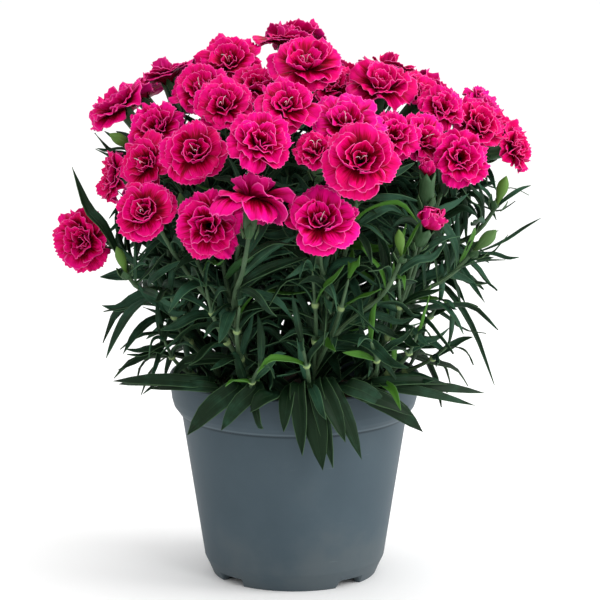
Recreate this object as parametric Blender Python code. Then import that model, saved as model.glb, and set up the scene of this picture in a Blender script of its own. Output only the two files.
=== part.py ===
"""A double pink dianthus in its grey nursery pot.

Metres, +Z up. The origin is on the surface that the pot stands on, under the pot's axis,
and the plant's show side faces -Y.
"""

import math
import random

import bmesh
import bpy
import numpy as np
from mathutils import Matrix, Vector

MM = 0.001
GAP = 0.35 * MM

# Pot
POT_SIDES = 36
POT_HEIGHT = 106 * MM
RIM_RADIUS = 65 * MM
RIM_FOOT_RADIUS = 63.7 * MM
NECK_RADIUS = 58.7 * MM
NECK_HEIGHT = 85.8 * MM
WALL_FOOT_RADIUS = 46.9 * MM
WALL_FOOT_HEIGHT = 9.5 * MM
WALL = 1.3 * MM
FLOOR_UNDERSIDE = 4.7 * MM
FLOOR_TOP = 6.2 * MM
FOOT_RING = (39.3 * MM, 42.6 * MM)
FOOT_COUNT = 4
FOOT_TURN = math.radians(-3.5)
NOTCH_ANGLE = math.radians(19)
NOTCH_HEIGHT = 4.2 * MM
DRAIN_RADIUS = 4 * MM
DRAIN_RING = 27 * MM

# Soil
SOIL_SIDES = 16
SOIL_TOP = 93 * MM
SOIL_BUMP = 1.6 * MM
ROOT_DEPTH = 12 * MM

# The eye that the show side is laid out for
EYE_DISTANCE = 1800 * MM
EYE_LIFT = math.radians(11.6)
EYE_AIM = (2.9 * MM, 141.3 * MM)

# The dome that the blooms sit on: half sizes across, deep and high, and its middle
DOME = (125 * MM, 105 * MM, 120 * MM)
DOME_MIDDLE = Vector((0, 8 * MM, 165 * MM))
# How far leaves may reach to either side, and to the front and back
SPREAD = (105 * MM, 100 * MM)

# Show side, in mm and degrees: across and up as the eye sees them, diameter,
# the way the face is turned (0 to the eye, 90 to +X) and lifted, and how far behind the dome
SHOW_BLOOMS = (
    (-5, 280, 35, 180, 79, 24),
    (6, 267, 39, 0, 52, 0),
    (-35, 268, 37, -14, 46, 2),
    (-68, 261, 33, -125, 66, 20),
    (-93, 245, 34, -80, 52, 12),
    (-50, 254, 34, -20, 46, 14),
    (-38, 245, 34, -5, 38, 0),
    (-19, 256, 33, 0, 60, 14),
    (-4, 245, 34, 10, 40, 0),
    (-74, 233, 30, -28, 38, 8),
    (-80, 214, 31, -38, 24, 2),
    (-53, 220, 37, -10, 28, 0),
    (-18, 226, 35, 14, 34, 2),
    (-80, 189, 34, -20, 30, 0),
    (-112.5, 172, 35, -28, 6, 38),
    (-46, 180, 37, -9, 8, 0),
    (-22, 199, 38, 160, 76, -8),
    (14, 184, 40, 4, 38, 0),
    (-98, 207, 28, -72, 10, 16),
    (27, 236, 40, 6, 56, 6),
    (35, 216, 41, 0, 28, 0),
    (46, 256, 40, 20, 62, 2),
    (50, 266, 34, 150, 74, 26),
    (19, 256, 32, 10, 50, 20),
    (68, 250, 33, 60, 50, 14),
    (79, 244, 28, 28, 44, 2),
    (69, 227, 30, 38, 30, 10),
    (88, 217, 32, 16, 24, 0),
    (98, 235, 31, 34, 38, 0),
    (102, 246, 25, 74, 46, 18),
    (119, 222, 26, 62, 16, 4),
    (111, 233, 26, 62, 42, 10),
    (53, 229, 29, 20, 36, 12),
    (11, 223, 25, -4, 52, 16),
)
# Back of the dome: blooms in each row, the row's height angle, its first bloom's turn and its span
BACK_ROWS = ((5, 16, 138, 84), (4, 42, 118, 124), (1, 68, 180, 0))
BACK_DIAMETER = 36

# Opening buds, a pink tuft in a green calyx: as the show blooms
OPENING_BUDS = ((70, 180, 13, 24, 44, 0), (70, 207, 8, 8, 74, 6))
# Closed buds, all green
CLOSED_BUDS = (
    (-96, 228, 8, -60, 30, 0),
    (105, 177, 9, 58, 44, 0),
    (55, 177, 7, -10, 60, -4),
    (-93, 168, 7, -30, 60, 4),
    (111, 205, 8, 40, 66, 6),
    (17, 198, 8, 10, 70, 10),
    (-60, 196, 7, -20, 70, 8),
)

# Calyx and stem
CALYX_LENGTH = 17 * MM
CALYX_RADIUS = 4.1 * MM
CALYX_BASE_RADIUS = 2.7 * MM
STEM_RADIUS = 1.3 * MM
MAIN_STEM_RADIUS = 2.0 * MM
BLOOM_MIDDLE = 6 * MM
# Rings of balls that fill a bloom: how many, their ring and their size in bloom radii, their height in mm
BLOOM_BALLS = ((16, 0.84, 0.22, 4.5), (10, 0.62, 0.27, 7.5), (7, 0.3, 0.28, 9.5))
STEM_SIDES = 4
PETALS = 5

# Shoots: roots on each ring in the soil, the ring's radius and its first root's turn
ROOT_RINGS = ((4, 15 * MM, 0.6), (8, 38 * MM, 0.2))
ROOT_SHARE = 0.36
FORK_SHARE = 0.5

# Leaves: length and half width from the foot of a shoot to its top
LEAF_LENGTH = (74 * MM, 34 * MM)
LEAF_HALF_WIDTH = (4.7 * MM, 2.4 * MM)
BROAD_HALF_WIDTH = 3.4 * MM
LEAF_THICKNESS = 0.9 * MM
LEAF_TWIST = 0.75
LEAF_SPACING = 30 * MM
LEAF_CLEARANCE = 3.3 * MM
LEAF_TRIES = 20
LEAF_FOOT = 3.6 * MM
LEAF_FREE = 9 * MM
LEAF_FOOT_OFFSET = 0.45 * MM
FOOT_SHARE = 0.16
BRANCH_TRIES = 80
# Leaves that hang over the rim: turn in degrees, then in mm the reach past the rim, the drop below it
# and the half width
SKIRT_LEAVES = (
    (11, 5, 39, 6.2), (-44, 8, 25, 5.0), (-29, 6, 20, 4.2), (27, 5, 35, 4.2), (3, 5, 31, 3.8),
    (19, 9, 24, 4.6), (-4, 8, 18, 3.8), (55, 10, 26, 5.0), (38, 9, 10, 4.4), (-16, 10, 8, 4.4),
    (15, 5, 38, 3.6), (-68, 30, 1, 4.4), (-60, 15, 4, 4.0), (-81, 22, 8, 4.2), (72, 43, 3, 4.2),
    (66, 31, 13, 3.6), (61, 19, 1, 4.2), (47, 13, 15, 3.6), (80, 30, 12, 3.6),
)
BACK_SKIRT_COUNT = 15
SKIRT_TRIES = 12

SEED = 29


def unit(vector):
    return Vector(vector).normalized()


def facing(turn, lift):
    """The direction turned from -Y towards +X, and lifted above the horizon, both in degrees."""
    t, e = math.radians(turn), math.radians(lift)
    return Vector((math.sin(t) * math.cos(e), -math.cos(t) * math.cos(e), math.sin(e)))


def sight_point(across, up, depth):
    """The point that the eye sees at (across, up), at this depth behind the pot's axis."""
    forward = Vector((0, math.cos(EYE_LIFT), -math.sin(EYE_LIFT)))
    upward = Vector((0, math.sin(EYE_LIFT), math.cos(EYE_LIFT)))
    right = Vector((1, 0, 0))
    eye = EYE_AIM[0] * right + EYE_AIM[1] * upward - EYE_DISTANCE * forward
    ray = across * right + up * upward - eye
    return eye + ray * (EYE_DISTANCE + depth) / EYE_DISTANCE


def dome_depth(across, up):
    """How far in front of the pot's axis the dome is where the eye sees (across, up)."""
    depth = 0.0
    for _ in range(6):
        point = sight_point(across, up, depth)
        height = (point.z - DOME_MIDDLE.z) / DOME[2]
        left = max(0.03, 1 - (point.x / DOME[0]) ** 2 - height * height)
        depth += 0.6 * (DOME_MIDDLE.y - DOME[1] * math.sqrt(left) - point.y)
    return depth


def side_axes(axis):
    """Two directions at right angles to an axis and to each other, the first one level."""
    across = Vector((0, 0, 1)).cross(axis)
    if across.length < 1e-4:
        across = Vector((1, 0, 0))
    across.normalize()
    return across, axis.cross(across).normalized()


class Head:
    """A bloom or a bud: where its middle is, the way it faces, and how it may be moved aside."""

    def __init__(self, middle, axis, diameter, kind, slide):
        self.middle, self.axis, self.kind, self.slide = middle, axis, kind, slide
        self.radius = diameter / 2
        self.lift = BLOOM_MIDDLE if kind == "open" else 0.0

    def seat(self):
        """Where the petals sit on the calyx."""
        return self.middle - self.lift * self.axis

    def calyx_base(self):
        return self.seat() - CALYX_LENGTH * self.axis

    def balls(self):
        """Balls, as rows of centre and radius, that fill the petals and the calyx."""
        e1, e2 = side_axes(self.axis)
        seat, rows = self.seat(), []
        if self.kind == "open":
            for count, share, size, high in BLOOM_BALLS:
                for k in range(count):
                    a = 2 * math.pi * k / count
                    side = self.radius * share * (math.cos(a) * e1 + math.sin(a) * e2)
                    rows.append((*(seat + side + high * MM * self.axis), size * self.radius))
        for step in range(5):
            rows.append((*(seat - 0.22 * step * CALYX_LENGTH * self.axis), 1.1 * CALYX_RADIUS))
        return np.array(rows)


def overlap(first, second):
    """How deep the balls of one head reach into the other's."""
    apart = np.linalg.norm(first[:, None, :3] - second[None, :, :3], axis=2)
    return float((first[:, None, 3] + second[None, :, 3] - apart).max())


def part_heads(heads):
    """Moves heads that touch apart: on the show side along the line of sight, else sideways."""
    for _ in range(160):
        worst = 0.0
        balls = [head.balls() for head in heads]
        for i, first in enumerate(heads):
            for j in range(i + 1, len(heads)):
                second = heads[j]
                between = second.middle - first.middle
                if between.length > first.radius + second.radius + CALYX_LENGTH + 8 * MM:
                    continue
                deep = overlap(balls[i], balls[j])
                if deep <= 0:
                    continue
                worst = max(worst, deep)
                for head, way in ((first, -1), (second, 1)):
                    if head.slide == "sight":
                        order = math.copysign(1, between.y) * way
                        head.middle += 0.3 * deep * order * line_of_sight(head.middle)
                    else:
                        head.middle += 0.3 * deep * way * between.normalized()
        if worst < 0.1 * MM:
            break
    return heads


def line_of_sight(point):
    forward = Vector((0, math.cos(EYE_LIFT), -math.sin(EYE_LIFT)))
    upward = Vector((0, math.sin(EYE_LIFT), math.cos(EYE_LIFT)))
    eye = Vector((EYE_AIM[0], 0, 0)) + EYE_AIM[1] * upward - EYE_DISTANCE * forward
    return (point - eye).normalized()


def lay_heads():
    """All blooms and buds, clear of each other."""
    heads = []
    for kind, rows in (("open", SHOW_BLOOMS), ("opening", OPENING_BUDS), ("closed", CLOSED_BUDS)):
        for across, up, diameter, turn, lift, behind in rows:
            across, up = across * MM, up * MM
            depth = dome_depth(across, up) + behind * MM
            middle = sight_point(across, up, depth)
            size = diameter * MM * (EYE_DISTANCE + depth) / EYE_DISTANCE
            heads.append(Head(middle, facing(turn, lift), size, kind, "sight"))
    for count, lift, first, span in BACK_ROWS:
        for k in range(count):
            turn = first + span * k / max(1, count - 1)
            way = facing(turn, lift)
            place = DOME_MIDDLE + Vector(way[i] * DOME[i] for i in range(3))
            heads.append(Head(place, way, BACK_DIAMETER * MM, "open", "side"))
    return part_heads(heads)


def curve_points(start, start_way, end, end_way, count):
    """Points on a smooth curve that leaves start and reaches end along the given vectors."""
    points = []
    for k in range(count):
        t = k / (count - 1)
        h = ((1 - t) ** 3, 3 * t * (1 - t) ** 2, 3 * t * t * (1 - t), t**3)
        points.append(
            h[0] * start + h[1] * (start + start_way) + h[2] * (end - end_way) + h[3] * end
        )
    return points


def point_along(points, share):
    """The point and the direction at this share of a path's points."""
    at = min(len(points) - 1.001, share * (len(points) - 1))
    k = int(at)
    step = points[k + 1] - points[k]
    return points[k] + (at - k) * step, step.normalized()


def stem_frames(points):
    """A direction square to the path at each of its points, turned as little as can be."""
    frames, across = [], None
    for k in range(len(points)):
        along = unit(points[min(k + 1, len(points) - 1)] - points[max(k - 1, 0)])
        if across is None:
            across = side_axes(along)[0]
        across = unit(across - across.dot(along) * along)
        frames.append(across)
    return frames


class Space:
    """A grid of sample points of what is already there, to keep new leaves clear of it."""

    def __init__(self, cell):
        self.cell, self.cells = cell, {}

    def key(self, point):
        return tuple(int(math.floor(x / self.cell)) for x in point)

    def add(self, points, owner):
        for point in points:
            self.cells.setdefault(self.key(point), []).append((tuple(point), owner))

    def clashes(self, points, *own):
        """How many points come within a cell's size of one that none of these owners has."""
        reach, count = self.cell * self.cell, 0
        for x, y, z in points:
            i, j, k = self.key((x, y, z))
            count += any(
                other not in own and (a - x) ** 2 + (b - y) ** 2 + (c - z) ** 2 < reach
                for di in (-1, 0, 1)
                for dj in (-1, 0, 1)
                for dk in (-1, 0, 1)
                for (a, b, c), other in self.cells.get((i + di, j + dj, k + dk), ())
            )
        return count


def path_samples(points, step):
    """Points every step along a path."""
    samples = []
    for a, b in zip(points, points[1:]):
        count = max(1, math.ceil((b - a).length / step))
        samples += [a.lerp(b, k / count) for k in range(count)]
    return samples + [points[-1]]


def head_samples(head):
    """Points over the petals and the calyx of a head."""
    e1, e2 = side_axes(head.axis)
    seat, samples = head.seat(), []
    rings = [(CALYX_RADIUS * 0.9, -x * CALYX_LENGTH) for x in (0.05, 0.3, 0.55, 0.8)]
    if head.kind == "open":
        rings += [(head.radius * s, h * MM) for s, h in ((0.3, 2), (0.55, 3), (0.8, 3.5), (0.97, 3.5))]
        rings += [(head.radius * s, h * MM) for s, h in ((0.8, 7), (0.6, 8.5), (0.4, 11), (0.15, 10))]
    elif head.kind == "opening":
        rings += [(head.radius * 0.7, 4 * MM), (0, 9 * MM)]
    else:
        rings += [(0, 4 * MM)]
    for radius, high in rings:
        count = max(1, math.ceil(2 * math.pi * radius / (2.6 * MM)))
        for k in range(count):
            a = 2 * math.pi * k / count
            side = radius * (math.cos(a) * e1 + math.sin(a) * e2)
            samples.append(seat + side + high * head.axis)
    return samples


class Leaf:
    """A blade: the points of its midrib, the direction across it at its foot, and its half width."""

    def __init__(self, path, across, half_width):
        self.path, self.across, self.half_width = path, across, half_width

    def samples(self):
        """Points over the blade near its foot, but outside the stem, and over the rest of it."""
        points = path_samples(self.path, 3 * MM)
        last = len(points) - 1
        near, far = [], []
        for k, point in enumerate(points):
            away = (point - points[0]).length
            if away < LEAF_FOOT:
                continue
            wide = self.half_width * leaf_width(k / last)
            found = near if away < LEAF_FREE else far
            found.append(point)
            if wide > 1.2 * MM:
                found += [point + 0.8 * wide * self.across, point - 0.8 * wide * self.across]
        return near, far


def leaf_width(share):
    """The blade's half width, as a share of its widest, from foot to tip."""
    swell = FOOT_SHARE + (1 - FOOT_SHARE) * min(1.0, 3.2 * share)
    return swell * max(0.0, 1 - max(0.0, share - 0.45) ** 1.6 * 2.6)


def leaf_path(start, way, out, length, droop, count=5):
    """A midrib that starts along way, leans out and then droops."""
    points, step = [start], length / (count - 1)
    for k in range(count - 1):
        share = (k + 0.5) / (count - 1)
        bend = way.lerp(out, min(1.0, 1.25 * share))
        bend = bend + Vector((0, 0, -1)) * droop * share * share
        points.append(points[-1] + step * bend.normalized())
    return points


def in_pot_or_soil(point):
    """True where a leaf would run into the pot or the soil."""
    radius = math.hypot(point[0], point[1])
    if point[2] > POT_HEIGHT + 2.5 * MM:
        return False
    if radius < RIM_RADIUS - 5 * MM:
        return point[2] < SOIL_TOP + 3.5 * MM
    return radius < RIM_RADIUS + 2.8 * MM


def in_spread(point):
    """True within the plant's spread, which leaves don't pass."""
    return abs(point[0]) < SPREAD[0] and abs(point[1]) < SPREAD[1]


class Shoot:
    """A leafy shoot: its main stem, its branches to heads, and its leaves."""

    def __init__(self, root):
        self.root, self.heads, self.main, self.branches, self.leaves = root, [], [], [], []


def lay_shoots(heads, space):
    """Shoots from their roots in the soil to the heads, without leaves yet."""
    rng = random.Random(SEED + 2)
    for k, head in enumerate(heads):
        space.add(head_samples(head), ("head", k))
    shoots = []
    for count, radius, first in ROOT_RINGS:
        for k in range(count):
            a = first + 2 * math.pi * k / count
            shoots.append(Shoot(Vector((radius * math.cos(a), radius * math.sin(a), SOIL_TOP))))
    for head in heads:
        base = head.calyx_base()
        under = Vector((base.x, base.y, 0)) * ROOT_SHARE
        nearest = min(shoots, key=lambda s: (Vector((s.root.x, s.root.y, 0)) - under).length)
        nearest.heads.append(head)
    for index, shoot in enumerate(shoots):
        bases = [head.calyx_base() for head in shoot.heads]
        if not bases:
            out = Vector((shoot.root.x, shoot.root.y, 0))
            bases = [shoot.root + 1.1 * out + Vector((0, 0, 75 * MM))]
        target = sum(bases, Vector()) / len(bases)
        fork = shoot.root.lerp(target, FORK_SHARE)
        rise = Vector((0, 0, 0.4 * (fork.z - shoot.root.z)))
        foot = shoot.root - Vector((0, 0, ROOT_DEPTH - GAP))
        shoot.main = [foot] + curve_points(shoot.root, rise, fork, 0.3 * (target - shoot.root), 4)
        space.add(path_samples(shoot.main, 2.5 * MM), index)
        order = sorted(shoot.heads, key=lambda h: (h.calyx_base() - fork).length)
        for k, head in enumerate(order):
            share = 0.97 - 0.13 * ((k * 2) % 5) / 2
            own_head = ("head", heads.index(head))
            points = bent_clear(shoot.main, share, head, space, own_head, index, rng)
            shoot.branches.append((head, points))
    return shoots


def bent_clear(main, share, head, space, own_head, own_shoot, rng):
    """A branch from the main stem to a head's calyx, bent until it clears the rest."""
    base = head.calyx_base()
    best, fewest = None, math.inf
    for attempt in range(BRANCH_TRIES):
        start, along = point_along(main, share - 0.005 * attempt)
        reach = (base - start).length
        loose = 0.03 * attempt
        side = Vector([rng.uniform(-loose, loose) for _ in range(3)])
        lean = unit(head.axis + Vector((0, 0, 0.7)) + side)
        points = curve_points(start, 0.35 * reach * unit(along + side), base, 0.3 * reach * lean, 4)
        samples = path_samples(points, 2.5 * MM)[:-1]
        count = space.clashes(samples, own_shoot, own_head)
        if count < fewest:
            best, fewest = points, count
        if not count:
            break
    space.add(path_samples(best, 2.5 * MM)[:-1], own_shoot)
    return best


def add_leaf(shoot, space, rng, owner, start, along, out, share):
    """Grows one leaf from a stem, bent clear of its neighbours, or leaves it out."""
    for attempt in range(LEAF_TRIES):
        spread = 0.08 + 0.06 * attempt
        turned = unit(Matrix.Rotation(rng.uniform(-spread, spread), 3, along) @ out)
        lean = rng.uniform(0.35, 0.75)
        length = LEAF_LENGTH[0] + (LEAF_LENGTH[1] - LEAF_LENGTH[0]) * share
        length *= rng.uniform(0.85, 1.1) * (1 - 0.03 * attempt)
        half = LEAF_HALF_WIDTH[0] + (LEAF_HALF_WIDTH[1] - LEAF_HALF_WIDTH[0]) * share
        way = unit(along * math.cos(lean) + turned * math.sin(lean))
        foot = start + LEAF_FOOT_OFFSET * turned
        path = leaf_path(foot, way, unit(turned + 0.25 * along), length, rng.uniform(0.1, 1.1))
        twist = Matrix.Rotation(rng.uniform(-LEAF_TWIST, LEAF_TWIST), 3, way)
        leaf = Leaf(path, unit(twist @ along.cross(turned)), half * rng.uniform(0.9, 1.08))
        if keep_leaf(shoot, space, owner, leaf):
            return


def keep_leaf(shoot, space, owner, leaf, may_cross=()):
    """Takes a leaf onto its shoot, unless it would run into something that it may not cross."""
    near, far = leaf.samples()
    if any(in_pot_or_soil(p) or not in_spread(p) for p in near + far):
        return False
    if space.clashes(near, owner, *may_cross) or space.clashes(far, *may_cross):
        return False
    space.add(near + far, (owner, "skirt" if may_cross else len(shoot.leaves)))
    shoot.leaves.append(leaf)
    return True


def lay_skirt(shoots, space, rng):
    """Broad leaves from the foot of the outer shoots that hang over the rim."""
    rows = list(SKIRT_LEAVES)
    for k in range(BACK_SKIRT_COUNT):
        turn = 92 + 176 * k / (BACK_SKIRT_COUNT - 1)
        rows.append((turn, rng.uniform(10, 30), rng.uniform(2, 34), rng.uniform(3.6, 5)))
    over = RIM_RADIUS + 5 * MM
    for number, (turn, reach, drop, half_width) in enumerate(rows):
        for attempt in range(SKIRT_TRIES):
            way = facing(turn + rng.uniform(-0.7, 0.7) * attempt, 0)
            index = max(range(len(shoots)), key=lambda i: shoots[i].root.dot(way))
            start, _ = point_along(shoots[index].main, 0.27 + 0.05 * (number % 4))
            lip = way * over + Vector((0, 0, POT_HEIGHT + rng.uniform(4, 9) * MM))
            tip = way * (over + reach * MM) + Vector((0, 0, POT_HEIGHT + (5 - drop) * MM))
            path = [start, start.lerp(lip, 0.5) + Vector((0, 0, 6 * MM)), lip, lip.lerp(tip, 0.5), tip]
            path[3] += (3 * MM) * way + Vector((0, 0, 3 * MM))
            leaf = Leaf(path, unit(way.cross(Vector((0, 0, 1)))), half_width * MM)
            if keep_leaf(shoots[index], space, index, leaf, (index, (index, "skirt"))):
                break


def lay_leaves(shoots, space):
    """Opposite pairs of leaves up every stem, each pair square to the last."""
    rng = random.Random(SEED)
    lay_skirt(shoots, space, rng)
    for index, shoot in enumerate(shoots):
        stems = [(shoot.main, 0.28, 0.95, 0.0, 0.5)]
        stems += [(points, 0.22, 0.8, 0.5, 1.0) for _, points in shoot.branches]
        for path, first, last, low, high in stems:
            length = sum((b - a).length for a, b in zip(path, path[1:]))
            pairs = max(1, round((last - first) * length / LEAF_SPACING))
            frames = stem_frames(path)
            for pair in range(pairs):
                share = pair / max(1, pairs - 1)
                at = first + (last - first) * share
                start, along = point_along(path, at)
                across = frames[min(len(frames) - 1, round(at * (len(path) - 1)))]
                across = unit(across - across.dot(along) * along)
                pair_way = across if pair % 2 else along.cross(across)
                for out in (pair_way, -pair_way):
                    up_the_shoot = low + (high - low) * share
                    add_leaf(shoot, space, rng, index, start, along, out, up_the_shoot)
    return shoots


def material(name, colour, roughness):
    """A Principled material with this colour and roughness."""
    made = bpy.data.materials.new(name)
    made.use_nodes = True
    shader = made.node_tree.nodes["Principled BSDF"]
    shader.inputs["Base Color"].default_value = (*colour, 1)
    shader.inputs["Roughness"].default_value = roughness
    shader.inputs["Metallic"].default_value = 0.0
    return made


def new_object(name, bm, finish, location=(0, 0, 0), axis=None):
    """An object from a bmesh, at its place, with its +Z turned to axis."""
    mesh = bpy.data.meshes.new(name)
    bm.to_mesh(mesh)
    bm.free()
    mesh.materials.append(finish)
    obj = bpy.data.objects.new(name, mesh)
    obj.location = location
    if axis is not None:
        obj.rotation_mode = "QUATERNION"
        obj.rotation_quaternion = axis.to_track_quat("Z", "Y")
    bpy.context.scene.collection.objects.link(obj)
    return obj


def boolean(obj, others, operation, solver="EXACT"):
    """Joins or cuts obj with the others at once, applies it, and removes them."""
    group = bpy.data.collections.new("others")
    bpy.context.scene.collection.children.link(group)
    for other in others:
        bpy.context.scene.collection.objects.unlink(other)
        group.objects.link(other)
    modifier = obj.modifiers.new(operation.lower(), "BOOLEAN")
    modifier.operation = operation
    modifier.operand_type = "COLLECTION"
    modifier.collection = group
    modifier.solver = solver
    bpy.context.view_layer.update()
    graph = bpy.context.evaluated_depsgraph_get()
    made = bpy.data.meshes.new_from_object(obj.evaluated_get(graph))
    obj.modifiers.clear()
    obj.data = made
    for other in others:
        bpy.data.objects.remove(other)
    bpy.data.collections.remove(group)
    return obj


def loft(rings):
    """A closed bmesh skinned over rings of equally many points, all cut into triangles alike."""
    bm = bmesh.new()
    loops = [[bm.verts.new(point) for point in ring] for ring in rings]
    for low, high in zip(loops, loops[1:]):
        if len(high) == 1:
            for k, vert in enumerate(low):
                bm.faces.new((vert, low[(k + 1) % len(low)], high[0]))
            continue
        for k in range(len(low)):
            after = (k + 1) % len(low)
            bm.faces.new((low[k], low[after], high[after]))
            bm.faces.new((low[k], high[after], high[k]))
    bm.faces.new(reversed(loops[0]))
    if len(loops[-1]) > 1:
        bm.faces.new(loops[-1])
    return bm


def tube(points, radii, sides):
    """A round stem through points, with a radius at each."""
    rings = []
    for k, (point, across) in enumerate(zip(points, stem_frames(points))):
        along = unit(points[min(k + 1, len(points) - 1)] - points[max(k - 1, 0)])
        other = along.cross(across)
        ring = []
        for side in range(sides):
            a = 2 * math.pi * (side + 0.5) / sides
            ring.append(point + radii[k] * (math.cos(a) * across + math.sin(a) * other))
        rings.append(ring)
    return loft(rings)


def blade(leaf):
    """A leaf with a flat top and a keel below, wide ones bent at every point of their midrib."""
    last = len(leaf.path) - 1
    broad = leaf.half_width > BROAD_HALF_WIDTH
    first = leaf.path[1] - leaf.path[0]
    side = leaf.across if leaf.across.cross(first).z > 0 else -leaf.across
    rings = []
    for k in range(0, last) if broad else (0, 2):
        point = leaf.path[k]
        wide = leaf.half_width * leaf_width(k / last)
        along = unit(leaf.path[k + 1] - leaf.path[max(k - 1, 0)])
        level = unit(side - side.dot(along) * along)
        up = level.cross(along)
        edge = 0.12 * wide * up
        keel = point - (LEAF_THICKNESS if k else 0.5 * LEAF_THICKNESS) * up
        rings.append([point + edge + wide * level, keel, point + edge - wide * level])
    return loft(rings + [[leaf.path[-1]]])


def stalk(head, points):
    """The points and radii of a branch with its calyx, or with its closed bud."""
    base, seat, axis = head.calyx_base(), head.seat(), head.axis
    path = list(points)
    radii = [STEM_RADIUS] * len(points)
    if head.kind == "closed":
        profile = ((0.1, 0.45), (0.42, 1.0), (0.78, 0.72), (1.12, 0.12))
        for share, wide in profile:
            path.append(base + share * CALYX_LENGTH * axis)
            radii.append(max(wide * head.radius, 0.4 * MM))
        return path, radii
    shrink = 1.0 if head.kind == "open" else 0.85
    path += [base + 1.6 * MM * axis, base + 9 * MM * axis, seat - GAP * axis]
    radii += [CALYX_BASE_RADIUS * shrink, CALYX_RADIUS * shrink, CALYX_RADIUS * shrink]
    return path, radii


def rosette(radius, rng):
    """Three tiers of five ruffled petals round a hollow middle, seated at z 0 and facing +Z."""
    columns = 4 * PETALS
    notch, left, middle, right = (0, 0.66, -0.4), (-0.05, 0.94, 1.0), (0, 1.02, -0.2), (0.05, 0.93, -1.0)
    low_margin = (notch, left, middle, right)
    middle_margin = (notch, (0.2, 0.98, 0.9), (-0.05, 0.98, 0.9), (0.05, 0.97, -0.8))
    top_margin = (notch, (0.25, 1.0, 0.7), (0, 1.0, 0.7), (-0.25, 1.0, 0.7))

    def ring_point(turn, out, high):
        return Vector((out * math.cos(turn), out * math.sin(turn), high))

    def tier(margin, shift, reach, high, wave):
        """A tier's edge: a notch and one to three points of the margin for each petal."""
        ring, long = [], 1.0
        for column in range(columns):
            place = (column - shift) % 4
            slide, out, up = margin[place]
            if place == 0:
                long = rng.uniform(0.93, 1.03)
            turn = (column + 4 * slide) * 2 * math.pi / columns
            ring.append(ring_point(turn, radius * reach * out * long, high + up * wave))
        return ring

    def crease(share, shift, high):
        """The waist between two tiers: one point for each petal, shared by its columns."""
        return [
            ring_point(
                2 * math.pi / PETALS * ((column + 1 - shift) // 4 + shift / 4), radius * share, high
            )
            for column in range(columns)
        ]

    bm = loft(
        [
            crease(2.8 * MM / radius, 0, 0.0),
            tier(low_margin, 0, 1.0, 3.6 * MM, 1.3 * MM),
            crease(0.34, 0, 3.9 * MM),
            tier(middle_margin, 2, 0.76, 8.0 * MM, 1.2 * MM),
            crease(0.22, 2, 7.3 * MM),
            tier(top_margin, 0, 0.48, 12 * MM, 1.1 * MM),
            [Vector((0, 0, 8.4 * MM))],
        ]
    )
    bmesh.ops.remove_doubles(bm, verts=bm.verts, dist=0.001 * MM)
    return bm


def bud_tuft(radius):
    """The furled petals that show above an opening calyx, seated at z 0."""
    rings = []
    for k, (share, high) in enumerate(((0.5, 0.0), (1.0, 4.5), (0.78, 8.0))):
        ring = []
        for side in range(10):
            a = 2 * math.pi * side / 10 + 0.2 * k
            out = radius * share * (1.12 if side % 2 else 0.86)
            lift = (high + (0.9 if side % 2 and k else 0.0)) * MM
            ring.append(Vector((out * math.cos(a), out * math.sin(a), lift)))
        rings.append(ring)
    return loft(rings + [[Vector((0, 0, 7.4 * MM))]])


def turned(profile, sides, name, finish):
    """A solid of revolution about Z from a profile of (radius, height), which starts and ends on Z."""
    bm = bmesh.new()
    verts = [bm.verts.new((radius, 0, height)) for radius, height in profile]
    edges = [bm.edges.new(pair) for pair in zip(verts, verts[1:])]
    bmesh.ops.spin(
        bm,
        geom=verts + edges,
        axis=(0, 0, 1),
        cent=(0, 0, 0),
        steps=sides,
        angle=2 * math.pi,
        use_merge=True,
    )
    bmesh.ops.remove_doubles(bm, verts=bm.verts, dist=0.01 * MM)
    bmesh.ops.recalc_face_normals(bm, faces=bm.faces)
    bmesh.ops.triangulate(bm, faces=bm.faces)
    return new_object(name, bm, finish)


def cutter(radius, low, high, place, sides=8):
    """A plain round cutter between two heights."""
    bm = bmesh.new()
    bmesh.ops.create_cone(
        bm, cap_ends=True, segments=sides, radius1=radius, radius2=radius, depth=high - low
    )
    bmesh.ops.translate(bm, verts=bm.verts, vec=(place[0], place[1], (low + high) / 2))
    return new_object("cutter", bm, None)


def notch_cutter(angle):
    """A wedge that opens the foot ring between two feet."""
    bm = bmesh.new()
    inner, outer = FOOT_RING[0] - 4 * MM, FOOT_RING[1] + 6 * MM
    corners = []
    for radius, turn in ((inner, -1), (outer, -1), (outer, 1), (inner, 1)):
        a = angle + turn * NOTCH_ANGLE / 2
        corners.append((radius * math.cos(a), radius * math.sin(a)))
    base = bm.faces.new([bm.verts.new((x, y, -2 * MM)) for x, y in corners])
    raised = bmesh.ops.extrude_face_region(bm, geom=[base])["geom"]
    tops = [part for part in raised if isinstance(part, bmesh.types.BMVert)]
    bmesh.ops.translate(bm, verts=tops, vec=(0, 0, NOTCH_HEIGHT + 2 * MM))
    bmesh.ops.recalc_face_normals(bm, faces=bm.faces)
    return new_object("notch", bm, None)


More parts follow.
